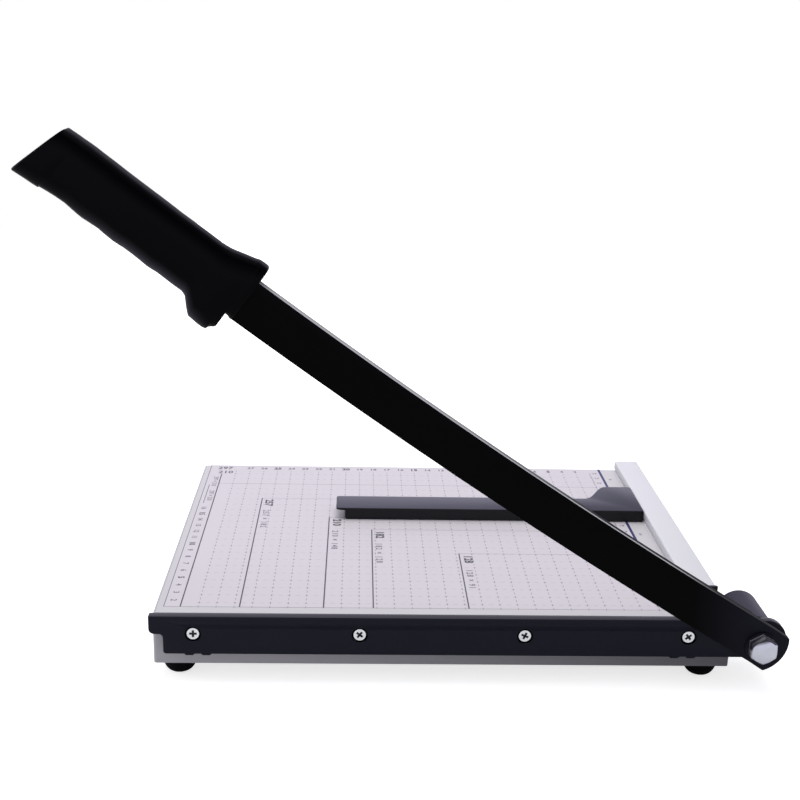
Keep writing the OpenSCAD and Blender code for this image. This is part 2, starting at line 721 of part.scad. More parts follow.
module grip_skin() {
    n = len(grip_shares);
    m = grip_ring_count;
    points = [for (i = [0:n - 1], k = [0:m - 1]) grip_point(i, k)];
    faces = concat([for (k = [1:m - 2]) [0, k, k + 1]],
        [for (k = [1:m - 2]) [(n - 1) * m, (n - 1) * m + k + 1, (n - 1) * m + k]],
        [for (i = [0:n - 2], k = [0:m - 1]) [i * m + k, (i + 1) * m + k, i * m + (k + 1) % m]],
        [for (i = [0:n - 2], k = [0:m - 1])
            [i * m + (k + 1) % m, (i + 1) * m + k, (i + 1) * m + (k + 1) % m]]);
    polyhedron(points, faces);
}

module handle_grip() {
    back_y = arm_mid_y + grip_w / 2;
    color("#111113") on_arm() difference() {
        grip_skin();
        translate([-arm_len - tang_len - fit_play, arm_front_y - fit_play, arm_lift - tang_w / 2 - fit_play])
            cube([tang_len + fit_play + over, arm_t + 2 * fit_play, tang_w + 2 * fit_play]);
        for (k = [0:len(grip_screw_shares) - 1]) translate([grip_screw_x(k), 0, arm_lift]) {
            rod_y(arm_back_y - over, back_y - arm_back_y, grip_screw_r + fit_play);
            rod_y(back_y - grip_bore_depth, grip_bore_depth + over, grip_head_r + fit_play);
        }
    }
}

module grip_screws() {
    head_y = arm_mid_y + grip_w / 2 - grip_bore_depth;
    color("silver") on_arm() for (k = [0:len(grip_screw_shares) - 1])
        translate([grip_screw_x(k), 0, arm_lift]) difference() {
            union() {
                rod_y(arm_back_y - grip_screw_grab, head_y - arm_back_y + grip_screw_grab, grip_screw_r);
                rod_y(head_y, grip_head_t, grip_head_r);
            }
            translate([0, 2 * head_y + grip_head_t, 0]) mirror([0, 1, 0]) cross_cut(head_y, grip_cross_turn);
        }
}

// Plan of the guide: a bar that widens in a smooth shoulder to its head
module guide_plan(left_x) {
    shoulder = guide_head_w * (1 - guide_flat_share);
    polygon(concat(arc(guide_x - guide_end_r, guide_y + guide_end_r, guide_end_r, 270, 360, corner_steps),
        [[guide_x, guide_y + guide_head_d]],
        [for (i = [0:guide_steps]) [guide_x - guide_head_w * guide_flat_share - shoulder * i / guide_steps,
            guide_y + guide_bar_d + (guide_head_d - guide_bar_d) * (1 + cos(180 * i / guide_steps)) / 2]],
        arc(left_x + guide_end_r, guide_y + guide_bar_d - guide_end_r, guide_end_r, 90, 180, corner_steps),
        arc(left_x + guide_end_r, guide_y + guide_end_r, guide_end_r, 180, 270, corner_steps)));
}

module paper_guide() {
    color("#1c1c1f") difference() {
        union() {
            translate([0, 0, guide_h - guide_plate_t]) linear_extrude(guide_plate_t)
                guide_plan(guide_left_x);
            translate([0, 0, guide_lift]) linear_extrude(guide_h - guide_lift - guide_plate_t / 2)
                guide_plan(guide_left_x + guide_over);
        }
        translate([guide_x - tongue_tab - fit_play, tongue_y - fit_play, guide_lift - over])
            cube([tongue_tab + fit_play + over, tongue_len + 2 * fit_play,
                tongue_z + tongue_t - guide_lift + over]);
        for (s = [-1, 1]) translate([guide_x - tongue_screw_inset,
            tongue_y + tongue_len / 2 + s * tongue_len / 3, tongue_z])
            cylinder(h = tongue_screw_len + fit_play, r = tongue_screw_r + fit_play);
    }
}

module guide_tongue() {
    color("#9a9aa2") difference() {
        translate([guide_x - tongue_tab, tongue_y, tongue_z])
            cube([tongue_tab + guide_gap + tongue_in, tongue_len, tongue_t]);
        for (s = [-1, 1]) translate([guide_x - tongue_screw_inset,
            tongue_y + tongue_len / 2 + s * tongue_len / 3, tongue_z]) {
            translate([0, 0, -over]) cylinder(h = tongue_t + 2 * over, r = tongue_screw_r + fit_play);
            cylinder(h = tongue_head_t, r1 = tongue_head_r + fit_play,
                r2 = tongue_screw_r + fit_play);
        }
    }
}

module tongue_screws() {
    color("silver") for (s = [-1, 1]) translate([guide_x - tongue_screw_inset,
        tongue_y + tongue_len / 2 + s * tongue_len / 3, tongue_z]) {
        cylinder(h = tongue_screw_len, r = tongue_screw_r);
        cylinder(h = tongue_head_t, r1 = tongue_head_r, r2 = tongue_screw_r);
    }
}

base_tray();
grid_sheet();
cutting_bar();
bar_screws();
bar_nuts();
foot(-1, -1);  // foot_front_left
foot(1, -1);  // foot_front_right
foot(-1, 1);  // foot_rear_left
foot(1, 1);  // foot_rear_right
foot_screws();
fence();
fence_cap();
fence_screws();
pivot_bolt();
head_washer();
spacer_washer();
spring_seat();
pivot_spring();
nut_washer();
pivot_nut();
pivot_cover();
arm_bar();
blade();
blade_screws();
handle_grip();
grip_screws();
paper_guide();
guide_tongue();
tongue_screws();
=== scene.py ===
# %% [markdown]
# # A guillotine paper cutter, dressed for its photograph
# The solids come from the CAD model and already have their true size and place.
# This lesson gives them finishes, softens the edges that catch light, models
# the moulded grip, and prints the rulers on the board.

import json
import math

import bmesh
import bpy
from mathutils import Matrix, Vector


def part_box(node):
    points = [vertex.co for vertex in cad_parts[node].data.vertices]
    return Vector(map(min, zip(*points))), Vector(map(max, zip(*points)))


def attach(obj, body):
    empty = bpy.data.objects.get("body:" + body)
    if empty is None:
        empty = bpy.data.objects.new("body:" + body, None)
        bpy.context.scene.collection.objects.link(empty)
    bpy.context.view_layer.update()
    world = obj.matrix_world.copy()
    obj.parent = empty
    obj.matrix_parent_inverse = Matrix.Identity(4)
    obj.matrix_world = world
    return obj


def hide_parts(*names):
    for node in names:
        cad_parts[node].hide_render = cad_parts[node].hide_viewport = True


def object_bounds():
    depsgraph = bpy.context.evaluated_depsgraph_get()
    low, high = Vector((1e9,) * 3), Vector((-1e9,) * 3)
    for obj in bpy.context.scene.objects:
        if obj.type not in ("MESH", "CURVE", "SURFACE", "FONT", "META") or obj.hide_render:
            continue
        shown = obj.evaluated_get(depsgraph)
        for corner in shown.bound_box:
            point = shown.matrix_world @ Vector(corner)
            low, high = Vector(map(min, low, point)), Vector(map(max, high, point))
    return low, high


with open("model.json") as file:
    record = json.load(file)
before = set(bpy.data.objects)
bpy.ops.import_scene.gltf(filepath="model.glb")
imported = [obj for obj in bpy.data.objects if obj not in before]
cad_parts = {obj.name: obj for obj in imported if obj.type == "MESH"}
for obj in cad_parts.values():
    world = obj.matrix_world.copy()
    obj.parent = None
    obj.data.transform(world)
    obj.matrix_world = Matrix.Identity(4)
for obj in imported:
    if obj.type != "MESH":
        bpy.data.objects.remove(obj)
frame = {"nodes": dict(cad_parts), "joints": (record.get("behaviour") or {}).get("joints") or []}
cad_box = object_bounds()
nodes = frame["nodes"]
print("nodes:", len(nodes), "box:", [[round(c, 4) for c in corner] for corner in cad_box])

# %% [markdown]
# ## The camera
# The camera was fitted to the printed 10 mm grid and the size lines, so it is
# given as plain numbers: a place, three angles and a focal length in pixels
# of an 800 pixel frame. Building its matrix from the three view directions
# keeps the roll exact, where Euler angles would hide it.

# %% Camera from the fitted view
CAMERA_PLACE = Vector((-0.051257, -0.741334, 0.310762))
YAW, PITCH, ROLL = 0.0372356, 0.2914761, 0.0244829
FOCAL_PIXELS, FRAME_PIXELS, SENSOR_MM = 1228.70, 800, 36.0

forward = Vector((math.sin(YAW) * math.cos(PITCH), math.cos(YAW) * math.cos(PITCH),
                  -math.sin(PITCH)))
sideways = Vector((math.cos(YAW), -math.sin(YAW), 0))
upward = sideways.cross(forward)
right = sideways * math.cos(ROLL) + upward * math.sin(ROLL)
upward = upward * math.cos(ROLL) - sideways * math.sin(ROLL)
view = bpy.data.cameras.new("photo_view")
view.sensor_width = SENSOR_MM
view.lens = FOCAL_PIXELS / FRAME_PIXELS * SENSOR_MM
camera = bpy.data.objects.new("photo_camera", view)
turn = Matrix((right, upward, -forward)).transposed().to_4x4()
camera.matrix_world = Matrix.Translation(CAMERA_PLACE) @ turn
bpy.context.scene.collection.objects.link(camera)
bpy.context.scene.camera = camera
bpy.context.scene.view_settings.view_transform = "Standard"
print("lens %.2f mm" % view.lens)

# %% [markdown]
# ## Light, floor and background
# Product photographs of dark tools use one wide soft box overhead, so that
# level faces are bright and upright faces stay dark. The surroundings are
# plain white for camera rays. For glossy rays they are a white backdrop that
# is brightest low behind the object, because that is what the top edges of
# the black parts mirror, and a little darker in front of it.

# %% Helpers for shader trees


def wire(tree, out_socket, in_socket):
    tree.links.new(out_socket, in_socket)


def ramp(tree, value, low, high, at_low=0.0, at_high=1.0, curve="LINEAR"):
    """Turns a value that runs from low to high into one from at_low to at_high."""
    spread = tree.nodes.new("ShaderNodeMapRange")
    spread.interpolation_type = curve
    spread.inputs["From Min"].default_value = low
    spread.inputs["From Max"].default_value = high
    spread.inputs["To Min"].default_value = at_low
    spread.inputs["To Max"].default_value = at_high
    wire(tree, value, spread.inputs["Value"])
    return spread.outputs["Result"]


def product(tree, first, second):
    """Multiplies two values; of two masks it gives the part where both are 1."""
    times = tree.nodes.new("ShaderNodeMath")
    times.operation = "MULTIPLY"
    wire(tree, first, times.inputs[0])
    wire(tree, second, times.inputs[1])
    return times.outputs[0]


print("shader helpers: wire, ramp, product")

# %% World
SKY_TINT, SKY_FILL = (0.93, 0.95, 1.0, 1), 0.42
BACKDROP_TINT = (0.98, 0.95, 1.16)
FRONT_Y, BACK_Y, FRONT_SHARE = -0.55, 0.35, 0.80
LOW_Z, HIGH_Z, LOW_SHARE, HIGH_SHARE = 0.05, 0.40, 1.35, 0.80
WHITE = (1, 1, 1, 1)
world = bpy.data.worlds.new("studio")
bpy.context.scene.world = world
world.use_nodes = True
tree = world.node_tree
tree.nodes.clear()
path = tree.nodes.new("ShaderNodeLightPath")


def sky_light(tree, color, strength):
    light = tree.nodes.new("ShaderNodeBackground")
    light.inputs["Color"].default_value = color
    light.inputs["Strength"].default_value = strength
    return light


def by_ray(tree, ray, others_see, this_sees):
    """Shows one light to the named kind of ray and another to the rest."""
    mix = tree.nodes.new("ShaderNodeMixShader")
    wire(tree, path.outputs[ray], mix.inputs["Fac"])
    wire(tree, others_see, mix.inputs[1])
    wire(tree, this_sees, mix.inputs[2])
    return mix.outputs[0]


direction = tree.nodes.new("ShaderNodeTexCoord")
split = tree.nodes.new("ShaderNodeSeparateXYZ")
wire(tree, direction.outputs["Generated"], split.inputs[0])
toward_back = ramp(tree, split.outputs["Y"], FRONT_Y, BACK_Y, FRONT_SHARE, 1.0, "SMOOTHSTEP")
low_down = ramp(tree, split.outputs["Z"], LOW_Z, HIGH_Z, LOW_SHARE, HIGH_SHARE, "SMOOTHSTEP")
backdrop = tree.nodes.new("ShaderNodeVectorMath")
backdrop.operation = "SCALE"
backdrop.inputs[0].default_value = BACKDROP_TINT
wire(tree, product(tree, toward_back, low_down), backdrop.inputs["Scale"])
fill = sky_light(tree, SKY_TINT, SKY_FILL)
mirrored = sky_light(tree, WHITE, 1.0)
wire(tree, backdrop.outputs[0], mirrored.inputs["Color"])
lit = by_ray(tree, "Is Glossy Ray", fill.outputs[0], mirrored.outputs[0])
seen = by_ray(tree, "Is Camera Ray", lit, sky_light(tree, WHITE, 1.0).outputs[0])
wire(tree, seen, tree.nodes.new("ShaderNodeOutputWorld").inputs["Surface"])
print("world nodes:", len(tree.nodes))

# %% Lamps


def soft_box(name, place, aim, width, watts):
    lamp = bpy.data.lights.new(name, "AREA")
    lamp.shape = "SQUARE"
    lamp.size = width
    lamp.energy = watts
    holder = bpy.data.objects.new(name, lamp)
    holder.location = place
    holder.rotation_euler = (Vector(aim) - Vector(place)).to_track_quat("-Z", "Y").to_euler()
    bpy.context.scene.collection.objects.link(holder)
    return holder


soft_box("overhead_box", place=(-0.15, 0.25, 1.5), aim=(0, 0, 0), width=1.4, watts=15)
soft_box("left_box", place=(-1.5, -0.2, 0.8), aim=(0, 0, 0), width=0.9, watts=5)

# %% [markdown]
# The floor is a plain pale disc. A lit floor alone would go grey with the
# distance, so camera rays also see it glow: little near the object, where the
# soft shadow has to stay, and fully white one metre away, where its rim meets
# the white surroundings.

# %% Floor
FLOOR_RADIUS = 1.6
GLOW_FROM, GLOW_FULL, LEAST_GLOW = 0.22, 1.0, 0.72
floor_z = cad_box[0][2]
bm = bmesh.new()
bmesh.ops.create_circle(bm, cap_ends=True, segments=96, radius=FLOOR_RADIUS,
                        matrix=Matrix.Translation((0, 0, floor_z)))
floor_mesh = bpy.data.meshes.new("floor")
bm.to_mesh(floor_mesh)
bm.free()
floor = bpy.data.objects.new("floor", floor_mesh)
bpy.context.scene.collection.objects.link(floor)
floor_finish = bpy.data.materials.new("floor_white")
floor_finish.use_nodes = True
tree = floor_finish.node_tree
tree.nodes.clear()
chalk = tree.nodes.new("ShaderNodeBsdfDiffuse")
chalk.inputs["Color"].default_value = (0.80, 0.80, 0.80, 1)
glow = tree.nodes.new("ShaderNodeEmission")
path = tree.nodes.new("ShaderNodeLightPath")
spot = tree.nodes.new("ShaderNodeTexCoord")
reach = tree.nodes.new("ShaderNodeVectorMath")
reach.operation = "LENGTH"
wire(tree, spot.outputs["Object"], reach.inputs[0])
outward = ramp(tree, reach.outputs["Value"], GLOW_FROM, GLOW_FULL, LEAST_GLOW, 1.0)
wire(tree, product(tree, path.outputs["Is Camera Ray"], outward), glow.inputs["Strength"])
both = tree.nodes.new("ShaderNodeAddShader")
wire(tree, chalk.outputs[0], both.inputs[0])
wire(tree, glow.outputs[0], both.inputs[1])
wire(tree, both.outputs[0], tree.nodes.new("ShaderNodeOutputMaterial").inputs["Surface"])
floor_mesh.materials.append(floor_finish)
print("floor at %.4f m" % floor_z)

# %% [markdown]
# ## Effects that several finishes share
# Paint, moulded plastic and plated steel all have a fine relief and a slight
# unevenness of tone. Two node groups make these once: one with grain in all
# directions, and one with long scratches in one direction. A group puts out
# only a colour, a roughness and a height, and each material keeps its shader.

# %% Grain group


def new_group(name, inputs, outputs):
    group = bpy.data.node_groups.new(name, "ShaderNodeTree")
    for label, kind, value in inputs:
        socket = group.interface.new_socket(label, in_out="INPUT", socket_type=kind)
        socket.default_value = value
    for label, kind in outputs:
        group.interface.new_socket(label, in_out="OUTPUT", socket_type=kind)
    return group, group.nodes.new("NodeGroupInput"), group.nodes.new("NodeGroupOutput")


SURFACE_INPUTS = [("Color", "NodeSocketColor", (0.5, 0.5, 0.5, 1)),
                  ("Tone", "NodeSocketFloat", 0.1),
                  ("Patch Scale", "NodeSocketFloat", 30.0),
                  ("Fine Scale", "NodeSocketFloat", 1500.0),
                  ("Rough Low", "NodeSocketFloat", 0.3),
                  ("Rough High", "NodeSocketFloat", 0.4)]
SURFACE_OUTPUTS = [("Color", "NodeSocketColor"), ("Roughness", "NodeSocketFloat"),
                   ("Height", "NodeSocketFloat")]


def tone_and_roughness(group, entry, leave, patch):
    """Turns a 0 to 1 pattern into a tone of the colour and a roughness."""
    shade = group.nodes.new("ShaderNodeMath")
    shade.operation = "MULTIPLY_ADD"
    wire(group, patch, shade.inputs[0])
    wire(group, entry.outputs["Tone"], shade.inputs[1])
    lowest = group.nodes.new("ShaderNodeMath")
    lowest.operation = "MULTIPLY_ADD"
    lowest.inputs[1].default_value = -0.5
    lowest.inputs[2].default_value = 1.0
    wire(group, entry.outputs["Tone"], lowest.inputs[0])
    wire(group, lowest.outputs[0], shade.inputs[2])
    tint = group.nodes.new("ShaderNodeVectorMath")
    tint.operation = "SCALE"
    wire(group, entry.outputs["Color"], tint.inputs[0])
    wire(group, shade.outputs[0], tint.inputs["Scale"])
    wire(group, tint.outputs[0], leave.inputs["Color"])
    gloss = group.nodes.new("ShaderNodeMapRange")
    wire(group, patch, gloss.inputs["Value"])
    wire(group, entry.outputs["Rough Low"], gloss.inputs["To Min"])
    wire(group, entry.outputs["Rough High"], gloss.inputs["To Max"])
    wire(group, gloss.outputs["Result"], leave.inputs["Roughness"])


def noise_field(group, vector, scale_socket, detail, roughness=0.5):
    noise = group.nodes.new("ShaderNodeTexNoise")
    noise.inputs["Detail"].default_value = detail
    noise.inputs["Roughness"].default_value = roughness
    wire(group, vector, noise.inputs["Vector"])
    wire(group, scale_socket, noise.inputs["Scale"])
    return noise.outputs["Fac"]


grain, entry, leave = new_group("fine_grain", SURFACE_INPUTS, SURFACE_OUTPUTS)
spot = grain.nodes.new("ShaderNodeTexCoord").outputs["Object"]
patches = noise_field(grain, spot, entry.outputs["Patch Scale"], detail=4.0, roughness=0.6)
tone_and_roughness(grain, entry, leave, patches)
fine_relief = noise_field(grain, spot, entry.outputs["Fine Scale"], detail=2.0)
wire(grain, fine_relief, leave.inputs["Height"])
print("grain group nodes:", len(grain.nodes))

# %% Scratch group
ARM_ANGLE = math.radians(33.85)
ALONG_SCALE = 0.02
scratch, entry, leave = new_group("long_scratches", SURFACE_INPUTS, SURFACE_OUTPUTS)
spot = scratch.nodes.new("ShaderNodeTexCoord").outputs["Object"]
stretch = scratch.nodes.new("ShaderNodeMapping")
stretch.inputs["Rotation"].default_value = (0, -ARM_ANGLE, 0)
stretch.inputs["Scale"].default_value = (ALONG_SCALE, 1.0, 1.0)
wire(scratch, spot, stretch.inputs["Vector"])
lines = noise_field(scratch, stretch.outputs[0], entry.outputs["Fine Scale"],
                    detail=3.0, roughness=0.7)
tone_and_roughness(scratch, entry, leave, lines)
wire(scratch, lines, leave.inputs["Height"])
print("scratch group nodes:", len(scratch.nodes))

# %% [markdown]
# ## The finishes
# Every finish is one Principled shader. Values that are the same all over sit
# on its own sockets, and the group feeds colour, roughness and bump.

# %% One helper for all finishes
RELIEF_DEPTH = 0.00005


def finish(name, color, rough, group=grain, metal=0.0, tone=0.12, patch=30.0, fine=1500.0,
           bump=0.1, ior=1.5):
    """A Principled material; rough is the lowest and the highest roughness."""
    mat = bpy.data.materials.new(name)
    mat.use_nodes = True
    tree = mat.node_tree
    shader = tree.nodes["Principled BSDF"]
    shader.inputs["Metallic"].default_value = metal
    shader.inputs["IOR"].default_value = ior
    use = tree.nodes.new("ShaderNodeGroup")
    use.node_tree = group
    use.inputs["Color"].default_value = (*color, 1)
    use.inputs["Tone"].default_value = tone
    use.inputs["Patch Scale"].default_value = patch
    use.inputs["Fine Scale"].default_value = fine
    use.inputs["Rough Low"].default_value = rough[0]
    use.inputs["Rough High"].default_value = rough[1]
    relief = tree.nodes.new("ShaderNodeBump")
    relief.inputs["Strength"].default_value = bump
    relief.inputs["Distance"].default_value = RELIEF_DEPTH
    wire(tree, use.outputs["Color"], shader.inputs["Base Color"])
    wire(tree, use.outputs["Roughness"], shader.inputs["Roughness"])
    wire(tree, use.outputs["Height"], relief.inputs["Height"])
    wire(tree, relief.outputs["Normal"], shader.inputs["Normal"])
    return mat


print("helper: finish")

# %% [markdown]
# The board is folded steel with a light grey powder coat. The bar and the arm
# are painted black, the bar with a blue cast. The printed sheet is a smooth
# laminate, and the rest is moulded plastic, rubber and plated steel.

# %% Paints and plastics
tray_paint = finish("tray_powder_coat", (0.50, 0.48, 0.52), (0.45, 0.55),
                    tone=0.05, fine=1400, bump=0.25)
sheet_white = finish("sheet_laminate", (0.655, 0.63, 0.65), (0.35, 0.42),
                     tone=0.03, patch=18, fine=900, bump=0.05)
sheet_tint = finish("sheet_print_tint", (0.70, 0.65, 0.70), (0.35, 0.42),
                    tone=0.04, patch=22, fine=900, bump=0.05)
bar_paint = finish("bar_navy_black", (0.0098, 0.0108, 0.0205), (0.24, 0.26),
                   tone=0.2, fine=1700, bump=0.15, ior=1.22)
arm_paint = finish("arm_black", (0.0011, 0.0011, 0.0013), (0.26, 0.34),
                   tone=0.2, fine=1700, bump=0.10, ior=1.12)
guide_plastic = finish("guide_black_plastic", (0.0150, 0.0144, 0.0165), (0.245, 0.255),
                       tone=0.2, fine=2600, bump=0.15, ior=1.22)
grip_plastic = finish("grip_black_plastic", (0.0014, 0.0013, 0.0020), (0.30, 0.38),
                      tone=0.2, fine=2400, bump=0.2, ior=1.13)
cover_plastic = finish("cover_grey_plastic", (0.030, 0.028, 0.044), (0.40, 0.50),
                       tone=0.15, fine=2200, bump=0.25, ior=1.25)
fence_plastic = finish("fence_white", (0.77, 0.76, 0.80), (0.38, 0.46),
                       tone=0.03, patch=14, fine=1600, bump=0.12)
foot_rubber = finish("foot_rubber", (0.003, 0.003, 0.004), (0.55, 0.70),
                     tone=0.25, fine=1800, bump=0.4, ior=1.15)
print("paints and plastics: 10")

# %% [markdown]
# Plated steel is a metal with a soft mottle. The washer under the bolt's head is given a near-black
# colour and no metal, so it is as dark as a paint.
# The blade is ground along its length, so it takes the scratch group, whose
# pattern is turned to the arm.

# %% Metals
zinc_plate = finish("zinc_plate", (0.60, 0.60, 0.66), (0.30, 0.44),
                    metal=1.0, tone=0.16, patch=260, fine=1500, bump=0.25)
bolt_zinc = finish("bolt_zinc", (0.72, 0.73, 0.82), (0.30, 0.40),
                   metal=1.0, tone=0.20, patch=320, fine=1500, bump=0.25)
screw_nickel = finish("screw_nickel", (0.80, 0.80, 0.80), (0.22, 0.32),
                      metal=1.0, tone=0.10, patch=320, fine=1600, bump=0.2)
bar_nickel = finish("bar_screw_nickel", (0.97, 0.98, 1.0), (0.25, 0.35),
                    metal=1.0, tone=0.08, patch=320, fine=1600, bump=0.2)
black_steel = finish("washer_black_oxide", (0.0050, 0.0050, 0.0080), (0.30, 0.40),
                     tone=0.2, patch=180, fine=1400, bump=0.2, ior=1.25)
dark_steel = finish("dark_steel", (0.085, 0.085, 0.10), (0.35, 0.50),
                    metal=1.0, tone=0.2, patch=180, fine=1400, bump=0.3)
spring_wire = finish("spring_wire", (0.40, 0.40, 0.43), (0.25, 0.36),
                     metal=1.0, tone=0.15, patch=220, fine=1500, bump=0.2)
blade_steel = finish("blade_ground_steel", (0.012, 0.012, 0.014), (0.30, 0.45),
                     group=scratch, tone=0.3, fine=900, bump=0.3, ior=1.2)
print("metals: 8")

# %% [markdown]
# ## Painted light and shade that depend on place and direction
# Some tones are painted light or shade on one side or one spot of a piece: the dark hollow of a
# screw's cross, a painted highlight along the arm's front upper edge, the painted shade on the
# tray's front wall, the painted reflections on the level tops that mirror the soft box. They could
# be separate pieces with materials of their own, but a mask made from the object's own coordinates
# and normals keeps one piece whole. The limits of a mask are in metres or, for a direction, the
# cosine of its angle.

# %% Mask helpers
MM = 0.001
UP, TO_FRONT = (0, 0, 1), (0, -1, 0)
ARM_UP = (math.sin(ARM_ANGLE), 0, math.cos(ARM_ANGLE))
PLAIN_GLOSS = 0.5


def parts_of(tree, output):
    """The three components of the object's coordinates or of its normal."""
    source = tree.nodes.new("ShaderNodeTexCoord")
    parts = tree.nodes.new("ShaderNodeSeparateXYZ")
    wire(tree, source.outputs[output], parts.inputs[0])
    return parts.outputs


def toward(tree, direction):
    """How far the surface faces a direction, from -1 to 1."""
    source = tree.nodes.new("ShaderNodeTexCoord")
    dot = tree.nodes.new("ShaderNodeVectorMath")
    dot.operation = "DOT_PRODUCT"
    dot.inputs[1].default_value = direction
    wire(tree, source.outputs["Normal"], dot.inputs[0])
    return dot.outputs["Value"]


def feed(mat, socket, value):
    """Gives one socket of the shader a value that varies over the surface."""
    tree = mat.node_tree
    wire(tree, value, tree.nodes["Principled BSDF"].inputs[socket])


def lay_color(mat, mask, color):
    """Lays a colour over the finish where the mask is 1."""
    tree = mat.node_tree
    target = tree.nodes["Principled BSDF"].inputs["Base Color"]
    mix = tree.nodes.new("ShaderNodeMix")
    mix.data_type = "RGBA"
    mix.inputs[7].default_value = (*color, 1)
    wire(tree, mask, mix.inputs[0])
    wire(tree, target.links[0].from_socket, mix.inputs[6])
    wire(tree, mix.outputs[2], target)


print("mask helpers: parts_of, toward, feed, lay_color")

# %% [markdown]
# The arm and the blade are painted black, but their thin upper edges mirror the white studio, and
# this reflection is painted into their colour: pale from the grip to the middle, dark from there to
# the pivot. Near the pivot the arm's black is laid a little lighter and bluer as a painted sheen. A
# painted highlight shows as a light line along the arm's front upper edge.

# %% Arm
EDGE_DARK, EDGE_PALE, EDGE_HIGHLIGHT = (0.050, 0.050, 0.055), (0.42, 0.42, 0.44), (0.52, 0.52, 0.55)
PALE_UNTIL_X, DARK_FROM_X = -0.02, 0.08
NEAR_PIVOT_X, HIGHLIGHT_END_X = (0.136, 0.172), (0.120, 0.150)
HIGHLIGHT_DEPTH, PAST_HIGHLIGHT_DEPTH = 0.0021, 0.0024
arm_low, arm_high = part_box("arm_bar")


def lay_upper_edge(mat, edge):
    """Lays a painted reflection on an upper edge: pale toward the grip, dark toward the pivot."""
    tree = mat.node_tree
    toward_grip = ramp(tree, parts_of(tree, "Object")["X"], PALE_UNTIL_X, DARK_FROM_X, 1.0, 0.0)
    lay_color(mat, edge, EDGE_DARK)
    lay_color(mat, product(tree, edge, toward_grip), EDGE_PALE)


tree = arm_paint.node_tree
place = parts_of(tree, "Object")
# Painted sheen: the arm's black is laid a little lighter and bluer near the pivot.
lay_color(arm_paint, ramp(tree, place["X"], *NEAR_PIVOT_X), (0.0140, 0.0140, 0.0220))
# Painted reflection on the arm's upper edge.
lay_upper_edge(arm_paint, ramp(tree, toward(tree, ARM_UP), 0.90, 0.97))
feed(arm_paint, "Specular IOR Level",
     ramp(tree, toward(tree, ARM_UP), 0.85, 0.95, PLAIN_GLOSS, 0.0))
# Painted highlight: a light line laid along the arm's front upper edge, fading out before the
# pivot.
front_strip = ramp(tree, place["Y"], arm_low.y + HIGHLIGHT_DEPTH, arm_low.y + PAST_HIGHLIGHT_DEPTH,
                   1.0, 0.0)
painted_highlight = product(tree, ramp(tree, toward(tree, ARM_UP), 0.60, 0.80), front_strip)
before_pivot = ramp(tree, place["X"], *HIGHLIGHT_END_X, 1.0, 0.05)
lay_color(arm_paint, product(tree, painted_highlight, before_pivot), EDGE_HIGHLIGHT)
print("shades of the arm: near the pivot, upper edge, rubbed line")

# %% [markdown]
# The blade's lower side is bare, where it is ground to its edge: that side is a
# metal, and the rest is as black as the arm.

# %% Blade
tree = blade_steel.node_tree
# Painted reflection on the blade's upper edge, as on the arm's.
lay_upper_edge(blade_steel, ramp(tree, toward(tree, ARM_UP), 0.85, 0.95))
ground = ramp(tree, toward(tree, ARM_UP), -0.75, -0.60, 1.0, 0.0)
lay_color(blade_steel, ground, (0.55, 0.55, 0.58))
feed(blade_steel, "Metallic", ground)
feed(blade_steel, "Specular IOR Level",
     ramp(tree, toward(tree, ARM_UP), 0.60, 0.90, PLAIN_GLOSS, 0.0))
print("shades of the blade: upper edge, ground side")

# %% [markdown]
# The board throws its light up at the grip, so the grip's underside is grey,
# apart from its two ends. Its upper side is dull, because the white studio
# mirrored there would look like a strip of chrome.

# %% Grip
GRIP_ROOT_X, GRIP_END_X = (-0.135, -0.125), (-0.195, -0.165)
tree = grip_plastic.node_tree
place = parts_of(tree, "Object")
below = ramp(tree, toward(tree, ARM_UP), -0.65, -0.15, 1.0, 0.0)
below = product(tree, below, ramp(tree, place["X"], *GRIP_ROOT_X, 1.0, 0.0))
below = product(tree, below, ramp(tree, place["X"], *GRIP_END_X, 0.12, 1.0))
lay_color(grip_plastic, below, (0.046, 0.044, 0.057))
feed(grip_plastic, "Specular IOR Level",
     ramp(tree, toward(tree, ARM_UP), 0.10, 0.60, PLAIN_GLOSS, 0.06))
print("shades of the grip: underside, dull upper side")

# %% [markdown]
# The level tops of the bar and of the guide mirror the soft box, so they are
# several times as light as their fronts. The guide's wide head is a little
# darker than its long, narrow part.

# %% Level tops
LEVEL_FROM, LEVEL_FULL = 0.80, 0.95
HEAD_FROM_X, HEAD_FULL_X = 0.03, 0.10


def level(tree, at_low=0.0, at_high=1.0):
    """1 on faces that look straight up, 0 on upright ones, unless told otherwise."""
    return ramp(tree, toward(tree, UP), LEVEL_FROM, LEVEL_FULL, at_low, at_high)


lay_color(bar_paint, level(bar_paint.node_tree), (0.038, 0.035, 0.044))
tree = guide_plastic.node_tree
lay_color(guide_plastic, level(tree), (0.070, 0.067, 0.094))
on_head = ramp(tree, parts_of(tree, "Object")["X"], HEAD_FROM_X, HEAD_FULL_X)
lay_color(guide_plastic, product(tree, level(tree), on_head), (0.042, 0.040, 0.060))
feed(guide_plastic, "Specular IOR Level", level(tree, PLAIN_GLOSS, 0.30))
print("shades of the level tops: bar, guide, head of the guide")

# %% [markdown]
# In the photograph the tray's front wall gets darker toward the right, so a darker grey is laid
# over that wall as painted shade, little at its left end and fully at its right end.

# %% Front wall of the tray
BOARD_LEFT_X, BOARD_RIGHT_X = -0.165, 0.165
tree = tray_paint.node_tree
to_the_right = ramp(tree, parts_of(tree, "Object")["X"], BOARD_LEFT_X, BOARD_RIGHT_X)
front_wall = ramp(tree, toward(tree, TO_FRONT), 0.3, 0.7)
# Painted shade: a darker grey over the tray's front wall, growing toward the right.
lay_color(tray_paint, product(tree, to_the_right, front_wall), (0.136, 0.129, 0.143))
print("shade of the tray: its front wall")

